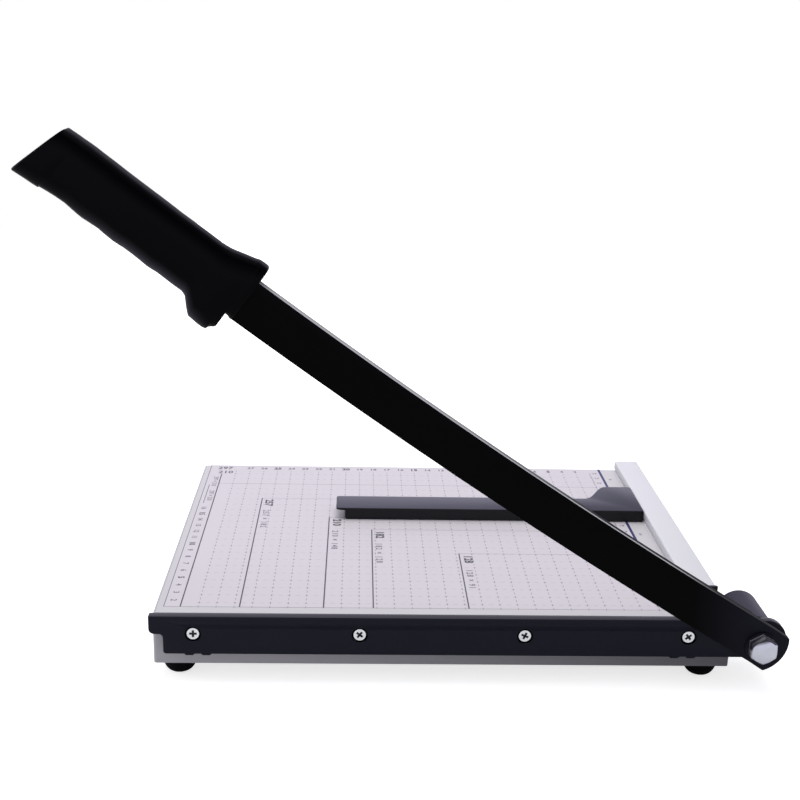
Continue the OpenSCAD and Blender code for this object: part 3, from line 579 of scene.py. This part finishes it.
# %% [markdown]
# A screw's cross and the ring around a sunk head are narrow hollows, and hardly any light comes out
# of them again, so both are painted dark as painted shade. Both are masks of the depth behind the
# bar's front face. The bolt's upper sides are painted dark, as painted shade, up to a light rim.

# %% Screw crosses, sunk rings and the bolt's sides
HOLLOW_FROM, HOLLOW_FULL = 0.00075, 0.00100
SUNK_FROM, SUNK_FULL = 0.00030, 0.00050
RIM_FROM, RIM_FULL = 0.0016, 0.0011
UPPER_LEFT = (-0.25, 0, 0.97)
bar_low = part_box("cutting_bar")[0]
washer_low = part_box("head_washer")[0]


def behind_face(tree, start, full, at_low=0.0, at_high=1.0):
    """A ramp over the depth behind the bar's front face."""
    depth = parts_of(tree, "Object")["Y"]
    return ramp(tree, depth, bar_low.y + start, bar_low.y + full, at_low, at_high)


tree = bar_nickel.node_tree
lay_color(bar_nickel, behind_face(tree, HOLLOW_FROM, HOLLOW_FULL), (0.004, 0.004, 0.006))
feed(bar_nickel, "Metallic", behind_face(tree, HOLLOW_FROM, HOLLOW_FULL, 1.0, 0.0))

tree = bar_paint.node_tree
in_front = ramp(tree, toward(tree, TO_FRONT), 0.4, 0.6)
sunk = product(tree, behind_face(tree, SUNK_FROM, SUNK_FULL), in_front)
lay_color(bar_paint, sunk, (0.0006, 0.0006, 0.0010))
feed(bar_paint, "Specular IOR Level", ramp(tree, sunk, 0.0, 1.0, PLAIN_GLOSS, 0.0))

tree = bolt_zinc.node_tree
upper_sides = ramp(tree, toward(tree, UPPER_LEFT), 0.18, 0.26)
off_rim = ramp(tree, parts_of(tree, "Object")["Y"], washer_low.y - RIM_FROM,
               washer_low.y - RIM_FULL, 1.0, 0.10)
sides = product(tree, upper_sides, off_rim)
# Painted shade on the bolt's upper sides, which stay light at the rim.
lay_color(bolt_zinc, sides, (0.010, 0.010, 0.016))
feed(bolt_zinc, "Metallic", ramp(tree, sides, 0.0, 1.0, 1.0, 0.0))
print("shades of the screws, the bar's rings and the bolt")

# %% [markdown]
# Each solid that stays as the CAD gives it takes its finish here.

# %% Finishes of the CAD solids
CAD_FINISHES = {
    "base_tray": tray_paint, "grid_sheet": sheet_white, "cutting_bar": bar_paint,
    "bar_screws": bar_nickel, "bar_nuts": zinc_plate, "foot_front_left": foot_rubber,
    "foot_front_right": foot_rubber, "foot_rear_left": foot_rubber,
    "foot_rear_right": foot_rubber, "foot_screws": zinc_plate, "fence": fence_plastic,
    "fence_cap": guide_plastic, "fence_screws": zinc_plate, "pivot_bolt": bolt_zinc,
    "head_washer": black_steel, "spacer_washer": dark_steel, "spring_seat": dark_steel,
    "pivot_spring": spring_wire, "nut_washer": dark_steel, "pivot_nut": zinc_plate,
    "pivot_cover": cover_plastic, "arm_bar": arm_paint, "blade": blade_steel,
    "blade_screws": screw_nickel, "handle_grip": grip_plastic, "grip_screws": screw_nickel,
    "paper_guide": guide_plastic, "guide_tongue": dark_steel, "tongue_screws": zinc_plate}
for node, coat in CAD_FINISHES.items():
    nodes[node].data.materials.clear()
    nodes[node].data.materials.append(coat)
print("dressed:", len(CAD_FINISHES), "of", len(nodes))

# %% [markdown]
# ## Softened edges
# No real edge is a perfect corner: paint and moulding leave a small round, and
# it is this round that shows as a thin light line. A Bevel modifier could do
# it, but on these solids it would also round the tiny rims of the holes. So a
# copy of the solid is merged, its flat faces are joined, and only the edges
# that a hand could feel are bevelled. Each piece has its own test for them.

# %% Helpers that finish a piece
MERGE_DISTANCE, FLAT_DEGREES, HARD_DEGREES = 2e-6, 0.2, 28


def make_piece(name, bm, coat, body, stands_for=(), smooth_degrees=32, flat_above=1.0):
    """Makes an object; faces of more than flat_above square metres are shaded flat."""
    mesh = bpy.data.meshes.new(name)
    bm.to_mesh(mesh)
    bm.free()
    mesh.polygons.foreach_set("use_smooth", [face.area < flat_above for face in mesh.polygons])
    mesh.set_sharp_from_angle(angle=math.radians(smooth_degrees))
    mesh.materials.append(coat)
    piece = bpy.data.objects.new(name, mesh)
    bpy.context.scene.collection.objects.link(piece)
    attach(piece, body)
    if stands_for:
        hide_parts(*stands_for)
    print("%s: %d faces" % (name, len(mesh.polygons)))
    return piece


def softened(node, width, segments, wanted=lambda edge: True):
    """A copy of a CAD solid with its wanted hard edges rounded."""
    bm = bmesh.new()
    bm.from_mesh(nodes[node].data)
    bmesh.ops.remove_doubles(bm, verts=bm.verts, dist=MERGE_DISTANCE)
    bmesh.ops.dissolve_limit(bm, angle_limit=math.radians(FLAT_DEGREES), verts=bm.verts,
                             edges=bm.edges)
    hard = [e for e in bm.edges if len(e.link_faces) == 2
            and e.calc_face_angle() > math.radians(HARD_DEGREES) and wanted(e)]
    bmesh.ops.bevel(bm, geom=hard, affect="EDGES", offset=width, offset_type="OFFSET",
                    segments=segments, profile=0.5, material=-1, clamp_overlap=False,
                    loop_slide=True)
    return bm


def middle(edge):
    return (edge.verts[0].co + edge.verts[1].co) / 2


def lowest(edge):
    return min(v.co.z for v in edge.verts)


print("piece helpers: make_piece, softened, middle, lowest")

# %% [markdown]
# The cutting bar is rounded along its outline. The rims of its four countersunk
# holes and of the pivot's bore stay as the CAD has them, because the screw heads
# and the pivot's parts sit close to them.

# %% Bar
LARGE = 12e-6
HOLE_REACH = 0.0065
FIRST_SCREW_X, SCREW_STEP, SCREW_Z = -0.1396, 0.0921, -0.0106
hinge = next(j for j in frame["joints"] if j["name"] == "arm_hinge")
PIVOT = Vector((hinge["pos_m"][0], 0.0, hinge["pos_m"][2]))
bar_holes = [(FIRST_SCREW_X + SCREW_STEP * i, SCREW_Z) for i in range(4)] + [(PIVOT.x, PIVOT.z)]


def clear_of_holes(edge):
    mid = middle(edge)
    return all(math.hypot(mid.x - x, mid.z - z) > HOLE_REACH for x, z in bar_holes)


make_piece("bar_softened", softened("cutting_bar", 0.0004, 3, clear_of_holes),
           bar_paint, "base", ["cutting_bar"], flat_above=LARGE)

# %% [markdown]
# The arm's outline is an arc that bows 3.8 mm between the pivot and the grip.
# An edge belongs to the outline if it is far from the middle line of that arc,
# which leaves out the rims of the screw holes.

# %% Arm's outline
GRIP_ROOT = 0.3423
ARM_LIFT, ARM_BOW = 0.00065, 0.0038
OUTLINE_REACH, HEEL = 0.0075, -0.008


def outline_edge(edge):
    """An edge between the arm's flat side and its rim, not a hole's."""
    mid = middle(edge) - PIVOT
    along = -mid.x * math.cos(ARM_ANGLE) + mid.z * math.sin(ARM_ANGLE)
    across = mid.x * math.sin(ARM_ANGLE) + mid.z * math.cos(ARM_ANGLE)
    arc = ARM_LIFT - ARM_BOW * (1 - (along / (GRIP_ROOT / 2) - 1) ** 2)
    near_rim = abs(across - arc) > OUTLINE_REACH or along < HEEL
    return along < GRIP_ROOT and near_rim and math.hypot(mid.x, mid.z) > HOLE_REACH


make_piece("arm_softened", softened("arm_bar", 0.0003, 3, outline_edge),
           arm_paint, "arm", ["arm_bar"], flat_above=LARGE)

# %% [markdown]
# The fence is a moulded strip, and only the edges of its top are rounded. The
# bolt's short edges are those of its shank, so only the long ones are taken.
# The guide is rounded along its top and down its short upright corners.

# %% Fence, bolt, cap and guide
fence_low, fence_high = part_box("fence")
guide_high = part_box("paper_guide")[1]
TOP_LAYER, GUIDE_TOP_LAYER, SHORT, HEAD_EDGE = 0.0001, 0.0015, 0.009, 0.0015


def fence_top_edge(edge):
    return lowest(edge) > fence_high.z - TOP_LAYER


def head_edge(edge):
    return edge.calc_length() > HEAD_EDGE


def guide_upper_edge(edge):
    top = guide_high.z - GUIDE_TOP_LAYER
    corner = max(v.co.z for v in edge.verts) > top and edge.calc_length() < SHORT
    return lowest(edge) > top or corner


make_piece("fence_softened", softened("fence", 0.0005, 3, fence_top_edge),
           fence_plastic, "base", ["fence"], flat_above=LARGE)
make_piece("bolt_softened", softened("pivot_bolt", 0.00018, 2, head_edge),
           bolt_zinc, "base", ["pivot_bolt"], flat_above=LARGE)
make_piece("cap_softened", softened("fence_cap", 0.0003, 2),
           guide_plastic, "base", ["fence_cap"], flat_above=LARGE)
make_piece("guide_softened", softened("paper_guide", 0.0005, 3, guide_upper_edge),
           guide_plastic, "guide", ["paper_guide"], flat_above=LARGE)

# %% [markdown]
# ## The moulded grip
# The real grip is one black moulding with a hook below its root that keeps the
# hand off the blade, a slim neck, a slow swelling, and a slanted end. It could
# be sculpted, but its shape is a run of rounded sections, so one ring is set to
# the first section, extruded and set to the next, all along the arm. The upper
# corner of the slanted end is then kept inside the CAD grip's box.

# %% Sections of the grip
GRIP_END_SLANT, GRIP_THICK, ROUNDNESS, RING_STEPS = 0.0109, 0.012, 0.55, 72
grip_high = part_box("handle_grip")[1]
# Each section has its place along the grip, its underside and its top in
# millimetres, its share of the thickness and its share of the end's slant.
GRIP_SECTIONS = [
    (0.0, -11.0, 20.7, 0.80, 0.16), (0.5, -11.0, 21.3, 0.85, 0.16),
    (1.2, -10.8, 21.6, 0.87, 0.15), (2.4, -10.2, 21.6, 0.87, 0.13),
    (3.9, -10.0, 21.7, 0.87, 0.11), (4.2, -10.8, 21.7, 0.87, 0.11),
    (4.5, -18.4, 21.7, 0.87, 0.10), (5.2, -19.2, 21.7, 0.88, 0.09),
    (6.0, -19.6, 21.4, 0.88, 0.08), (7.4, -20.8, 20.9, 0.89, 0.06),
    (7.9, -22.3, 20.8, 0.90, 0.05), (10.0, -22.6, 20.3, 0.91, 0.03),
    (13.0, -22.4, 19.6, 0.91, 0), (16.5, -21.9, 18.8, 0.91, 0),
    (18.6, -21.6, 18.4, 0.90, 0), (19.4, -21.0, 18.3, 0.90, 0),
    (22.0, -18.2, 18.1, 0.89, 0), (24.6, -15.0, 18.0, 0.88, 0),
    (25.6, -13.8, 18.1, 0.88, 0), (28.0, -12.7, 18.2, 0.88, 0),
    (33.0, -12.5, 18.5, 0.88, 0), (38.0, -12.1, 18.7, 0.89, 0),
    (43.0, -11.7, 18.9, 0.90, 0), (46.0, -11.8, 19.0, 0.91, 0),
    (49.0, -11.8, 19.1, 0.92, 0), (53.0, -11.3, 19.4, 0.93, 0),
    (58.0, -10.8, 19.7, 0.95, 0), (63.0, -10.5, 20.0, 0.96, 0),
    (66.0, -10.6, 20.1, 0.97, 0), (69.0, -10.6, 20.3, 0.97, 0),
    (73.0, -10.2, 20.5, 0.98, 0), (78.0, -9.5, 20.8, 0.98, 0),
    (83.0, -9.4, 21.1, 0.98, 0.01), (87.0, -9.5, 21.4, 0.98, 0.03),
    (90.0, -9.2, 21.6, 0.98, 0.05), (94.0, -8.6, 21.8, 0.98, 0.09),
    (98.0, -8.0, 22.0, 0.98, 0.14), (103.0, -7.9, 22.3, 0.98, 0.24),
    (107.0, -8.0, 22.4, 0.98, 0.33), (110.0, -8.2, 22.4, 0.98, 0.41),
    (112.0, -8.3, 22.4, 0.98, 0.47), (112.5, -8.9, 22.4, 0.99, 0.48),
    (116.0, -9.0, 22.5, 0.99, 0.60), (120.0, -8.9, 22.5, 1.0, 0.76),
    (124.5, -9.0, 22.5, 1.0, 0.92), (126.7, -9.0, 22.5, 0.99, 0.98),
    (127.2, -8.8, 22.3, 0.95, 1.0), (127.4, -8.4, 21.9, 0.90, 1.0)]
arm_middle_y = (arm_low.y + arm_high.y) / 2
print("sections of the grip:", len(GRIP_SECTIONS))

# %% Grip, ring by ring


def seat_section(verts, section):
    """Moves a ring of the unit circle to one section of the grip, in the arm's frame."""
    along, low, high, thick, slant = section
    centre, half = (low + high) / 2 * MM, (high - low) / 2 * MM
    for v, (c, s) in zip(verts, RING):
        soft_c = math.copysign(abs(c) ** ROUNDNESS, c)
        soft_s = math.copysign(abs(s) ** ROUNDNESS, s)
        back = slant * GRIP_END_SLANT * (soft_s + 1) / 2
        v.co = Vector((GRIP_ROOT + along * MM - back, GRIP_THICK * thick * soft_c,
                       centre + half * soft_s))


bm = bmesh.new()
circle = bmesh.ops.create_circle(bm, cap_ends=False, segments=RING_STEPS, radius=1.0)["verts"]
RING = [(v.co.x, v.co.y) for v in circle]
seat_section(circle, GRIP_SECTIONS[0])
loop = list(bm.edges)
first_loop = list(loop)
ring = list(circle)
for section in GRIP_SECTIONS[1:]:
    before = {v: i for i, v in enumerate(ring)}
    made = bmesh.ops.extrude_edge_only(bm, edges=loop)["geom"]
    loop = [e for e in made if isinstance(e, bmesh.types.BMEdge)]
    new_ring = [None] * RING_STEPS
    for v in (g for g in made if isinstance(g, bmesh.types.BMVert)):
        partner = next(e.other_vert(v) for e in v.link_edges if e.other_vert(v) in before)
        new_ring[before[partner]] = v
    seat_section(new_ring, section)
    ring = new_ring
for rim in (first_loop, loop):
    bmesh.ops.contextual_create(bm, geom=rim)
bmesh.ops.recalc_face_normals(bm, faces=bm.faces)
print("grip rings:", len(GRIP_SECTIONS), "faces:", len(bm.faces))

# %% [markdown]
# The rings were set in the arm's own frame, which runs from the pivot to the
# grip. This matrix carries them to their place. It mirrors them too, so the
# normals are recalculated after it.

# %% Grip, seated on the arm
cos_arm, sin_arm = math.cos(ARM_ANGLE), math.sin(ARM_ANGLE)
arm_turn = Matrix(((-cos_arm, 0, sin_arm, 0), (0, 1, 0, 0), (sin_arm, 0, cos_arm, 0), (0, 0, 0, 1)))
to_row = Matrix.Translation(Vector((PIVOT.x, arm_middle_y, PIVOT.z))) @ arm_turn
bmesh.ops.transform(bm, matrix=to_row, verts=bm.verts)
for v in bm.verts:
    v.co.z = min(v.co.z, grip_high.z)
bmesh.ops.recalc_face_normals(bm, faces=bm.faces)
print("top of the grip: %.4f m" % max(v.co.z for v in bm.verts))

# %% [markdown]
# Two screws hold the grip to the arm's tang. Their heads lie at the bottom of
# round wells in the back, which are cut with a Boolean modifier that is
# applied at once, as a curved wall is no place for an inset and an extrusion.

# %% Screw wells in the back of the grip
GRIP_LENGTH, TANG_SHARE, SCREW_SHARES = 0.1278, 0.72, (0.47, 0.86)
WELL_RADIUS, WELL_DEPTH, GRIP_SMOOTH = 0.00335, 0.0144, 40
grip = make_piece("grip_moulded", bm, grip_plastic, "arm", ["handle_grip"],
                  smooth_degrees=GRIP_SMOOTH)
bm = bmesh.new()
for share in SCREW_SHARES:
    spot = to_row @ Vector((GRIP_ROOT + share * TANG_SHARE * GRIP_LENGTH, 0, ARM_LIFT))
    turn = Matrix.Rotation(math.radians(90), 4, "X")
    seat = Matrix.Translation((spot.x, arm_middle_y + GRIP_THICK, spot.z))
    bmesh.ops.create_cone(bm, cap_ends=True, segments=48, radius1=WELL_RADIUS,
                          radius2=WELL_RADIUS, depth=WELL_DEPTH, matrix=seat @ turn)
well_mesh = bpy.data.meshes.new("well_cutter")
bm.to_mesh(well_mesh)
bm.free()
cutter = bpy.data.objects.new("well_cutter", well_mesh)
bpy.context.scene.collection.objects.link(cutter)
wells = grip.modifiers.new("wells", "BOOLEAN")
wells.operation, wells.solver, wells.object = "DIFFERENCE", "EXACT", cutter
bpy.context.view_layer.update()
cut = bpy.data.meshes.new_from_object(grip.evaluated_get(bpy.context.evaluated_depsgraph_get()))
grip.modifiers.clear()
grip.data = cut
bpy.data.objects.remove(cutter)
cut.set_sharp_from_angle(angle=math.radians(GRIP_SMOOTH))
print("grip with wells:", len(cut.polygons), "faces")

# %% [markdown]
# ## The print on the board
# The sheet is printed with a tint, a dashed 10 mm grid, rulers, and lines for
# common sheet sizes. An image texture would need a file, and a shader grid
# would not give numerals, so the ink is thin flat geometry that lies a few
# hundredths of a millimetre above the sheet, as real ink does.

# %% Ink colours


def ink(name, color, tone=0.25):
    return finish(name, color, (0.45, 0.55), tone=tone, patch=300, fine=900, bump=0.02)


ink_dark = ink("ink_dark_grey", (0.050, 0.047, 0.062))
ink_pale = ink("ink_pale_violet", (0.40, 0.355, 0.42))
ink_thin = ink("ink_thin_grey", (0.17, 0.16, 0.20))
ink_faint = ink("ink_faint_violet", (0.40, 0.365, 0.43))
ink_cross = ink("ink_cross_violet", (0.25, 0.215, 0.27))
ink_navy = ink("ink_navy", (0.018, 0.022, 0.115), tone=0.2)
print("inks: 6")

# %% [markdown]
# Places on the print are given as it is read: in millimetres left of the fence,
# and in millimetres behind a zero line that lies a little before the bar.

# %% Helpers for the print
ZERO_BEFORE_BAR = 0.0023
print_zero_y = bar_low.y - ZERO_BEFORE_BAR
sheet_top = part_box("grid_sheet")[1].z


def on_sheet(left_of_fence, from_zero, rise):
    """A point of the print, in millimetres left of the fence and from the print's zero."""
    return Vector((fence_low.x - left_of_fence * MM, print_zero_y + from_zero * MM,
                   sheet_top + rise))


def ink_bar(bm, centre, width, depth):
    """One flat bar of ink, made from a grid of one square."""
    size = Matrix.Diagonal((width, depth, 1, 1))
    bmesh.ops.create_grid(bm, x_segments=1, y_segments=1, size=0.5,
                          matrix=Matrix.Translation(centre) @ size)


def line_back(bm, left_of_fence, start, end, width, rise):
    """A line that runs from the front to the rear."""
    ink_bar(bm, on_sheet(left_of_fence, (start + end) / 2, rise), width, (end - start) * MM)


def line_across(bm, from_zero, right, left, width, rise):
    """A line that runs along the cut."""
    ink_bar(bm, on_sheet((left + right) / 2, from_zero, rise), (left - right) * MM, width)


print("the print's zero at y = %.4f m" % print_zero_y)

# %% [markdown]
# A pale tint covers the printed field. Around it the sheet stays white.

# %% The tinted field
TINT_RISE, INK_RISE, BOLD_RISE = 0.00002, 0.00004, 0.00006
FIELD_LEFT, FIELD_RIGHT, FIELD_FRONT, FIELD_REAR = 299.5, 12.0, 14.7, 248.0
bm = bmesh.new()
line_across(bm, (FIELD_FRONT + FIELD_REAR) / 2, FIELD_RIGHT, FIELD_LEFT,
            (FIELD_REAR - FIELD_FRONT) * MM, TINT_RISE)
make_piece("print_tint", bm, sheet_tint, "base")

# %% [markdown]
# The grid has one line every 10 mm. Each line is a row of dashes, one at every
# crossing and one between, with a darker dot on the crossing itself.

# %% The dashed grid
SQUARE, STEP = 10.0, 5.0
COLUMNS, ROWS = range(2, 29), range(2, 24)
FIRST_DASH, DASHES_BACK, DASHES_ACROSS = 3, 48, 57
COLUMN_DASH, ROW_DASH, CROSSING = (0.00040, 0.0026), (0.0024, 0.00024), (0.00060, 0.0010)
bm = bmesh.new()
for column in COLUMNS:
    for step in range(FIRST_DASH, DASHES_BACK):
        ink_bar(bm, on_sheet(SQUARE * column, STEP * step, INK_RISE), *COLUMN_DASH)
make_piece("print_columns", bm, ink_pale, "base")
bm = bmesh.new()
for row in ROWS:
    for step in range(FIRST_DASH, DASHES_ACROSS):
        ink_bar(bm, on_sheet(STEP * step, SQUARE * row, INK_RISE), *ROW_DASH)
make_piece("print_rows", bm, ink_faint, "base")
bm = bmesh.new()
for column in COLUMNS:
    for row in ROWS:
        ink_bar(bm, on_sheet(SQUARE * column, SQUARE * row, BOLD_RISE), *CROSSING)
make_piece("print_crossings", bm, ink_cross, "base")

# %% [markdown]
# A bold line runs back from the front edge at the width of each common sheet
# size, and a thin one closes the size at its depth. More thin lines frame the
# field and the rulers, and a navy line runs along the fence.

# %% Size lines and ruler lines
SIZE_LINES = [(257, 182), (210, 148), (182, 128), (128, 91)]
BOLD_WIDTH, SIZE_RIGHT, LARGEST_WIDTH, LARGEST_DEPTH = 0.00072, 20, 290, 210
# A line that runs back has its place left of the fence, its start and its end.
LARGEST_SIDE = (LARGEST_WIDTH, FIELD_FRONT, 229)
LEFT_RULE, SHORT_RULE = (299.2, FIELD_FRONT, 247), (296.3, 172, 207)
RIGHT_RULE, NAVY_RULE = (19.6, FIELD_FRONT, 240), (11.6, 10, FIELD_REAR)
bm = bmesh.new()
for width, depth in SIZE_LINES:
    line_back(bm, width, FIELD_FRONT, depth, BOLD_WIDTH, BOLD_RISE)
line_back(bm, *LARGEST_SIDE, BOLD_WIDTH, BOLD_RISE)
make_piece("print_bold_lines", bm, ink_dark, "base")
bm = bmesh.new()
for width, depth in SIZE_LINES:
    line_across(bm, depth, SIZE_RIGHT, width, 0.00025, INK_RISE)
line_across(bm, LARGEST_DEPTH, SIZE_RIGHT, LARGEST_WIDTH, 0.00030, INK_RISE)
line_across(bm, FIELD_FRONT, FIELD_RIGHT, FIELD_LEFT, 0.00028, INK_RISE)
line_back(bm, *LEFT_RULE, 0.00045, BOLD_RISE)
line_back(bm, *SHORT_RULE, 0.00050, BOLD_RISE)
line_back(bm, *RIGHT_RULE, 0.00022, INK_RISE)
make_piece("print_thin_lines", bm, ink_thin, "base")
bm = bmesh.new()
line_back(bm, *NAVY_RULE, 0.0018, BOLD_RISE)
make_piece("print_navy_line", bm, ink_navy, "base")

# %% [markdown]
# Numerals are text turned into a mesh. Each one is made flat at the origin,
# and its vertices are then moved to their place, because the piece's own
# object has to stay at the origin.

# %% Numerals


def add_numerals(bm, words, left_of_fence, from_zero, size, bold, quarter_turns=0, spacing=1.0):
    """Adds numerals of one size, their outlines moved out by bold; both in metres."""
    text = bpy.data.curves.new("numerals", "FONT")
    text.body = words
    text.size = size
    text.align_x, text.align_y = "CENTER", "CENTER"
    text.resolution_u = 2
    text.offset = bold
    text.space_character = spacing
    holder = bpy.data.objects.new("numerals", text)
    bpy.context.scene.collection.objects.link(holder)
    flat = holder.to_mesh()
    turn = Matrix.Rotation(math.radians(90 * quarter_turns), 4, "Z")
    seat = Matrix.Translation(on_sheet(left_of_fence, from_zero, BOLD_RISE))
    flat.transform(seat @ turn)
    bm.from_mesh(flat)
    holder.to_mesh_clear()
    bpy.data.objects.remove(holder)
    bpy.data.curves.remove(text)


FROM_LEFT = -1  # a quarter turn clockwise
print("helper: add_numerals")

# %% [markdown]
# The rear ruler reads from left to right. The left ruler and the names of the
# size lines are read from the left side, a quarter turn on. Every fifth number
# of a ruler is bold, and so are the widths at the size lines.

# %% Bold numerals
REAR_RULER, LEFT_RULER, LEFT_SHIFT = 241.6, 294.9, 3
WIDTH_BESIDE, WIDTH_BEFORE_END = 5.0, 8.6
bm = bmesh.new()
for n in range(5, 30, 5):
    add_numerals(bm, str(n), 10 * n, REAR_RULER, 0.0056, 0.00018)
for n in (5, 10, 15):
    add_numerals(bm, str(n), LEFT_RULER, 10 * n + LEFT_SHIFT, 0.0052, 0.00016, FROM_LEFT)
for width, depth in SIZE_LINES:
    add_numerals(bm, str(width), width - WIDTH_BESIDE, depth - WIDTH_BEFORE_END,
                 0.0074, 0.00022, FROM_LEFT)
add_numerals(bm, "297", 288.5, REAR_RULER, 0.0072, 0.00010)
add_numerals(bm, "210", 287.5, 233.0, 0.0072, 0.00010)
make_piece("print_bold_numerals", bm, ink_dark, "base")

# %% Plain numerals
INCH, RIGHT_RULER, FENCE_RULER = 25.4, 16.2, 6.6
NAME_BESIDE, NAME_BEFORE_END = 4.2, 37
bm = bmesh.new()
for n in [k for k in range(3, 28) if k % 5]:
    add_numerals(bm, str(n), 10 * n, REAR_RULER, 0.0050, 0.00012)
for n in [k for k in range(2, 17) if k % 5]:
    add_numerals(bm, str(n), LEFT_RULER, 10 * n + LEFT_SHIFT, 0.0048, 0.00010, FROM_LEFT)
for width, depth in SIZE_LINES:
    add_numerals(bm, "%d × %d" % (width, depth), width - NAME_BESIDE,
                 depth - NAME_BEFORE_END, 0.0056, 0.00008, FROM_LEFT, spacing=1.3)
for from_zero in (186, 214):
    add_numerals(bm, "297 × 210", 293.2, from_zero, 0.0046, 0.00004, FROM_LEFT)
for n in range(3, 25):
    add_numerals(bm, str(n), RIGHT_RULER, 10 * n - 1.3, 0.0036, 0.00004)
for n in range(1, 10):
    add_numerals(bm, str(n), FENCE_RULER, INCH * n - 2.5, 0.0044, 0.00004)
make_piece("print_numerals", bm, ink_thin, "base")
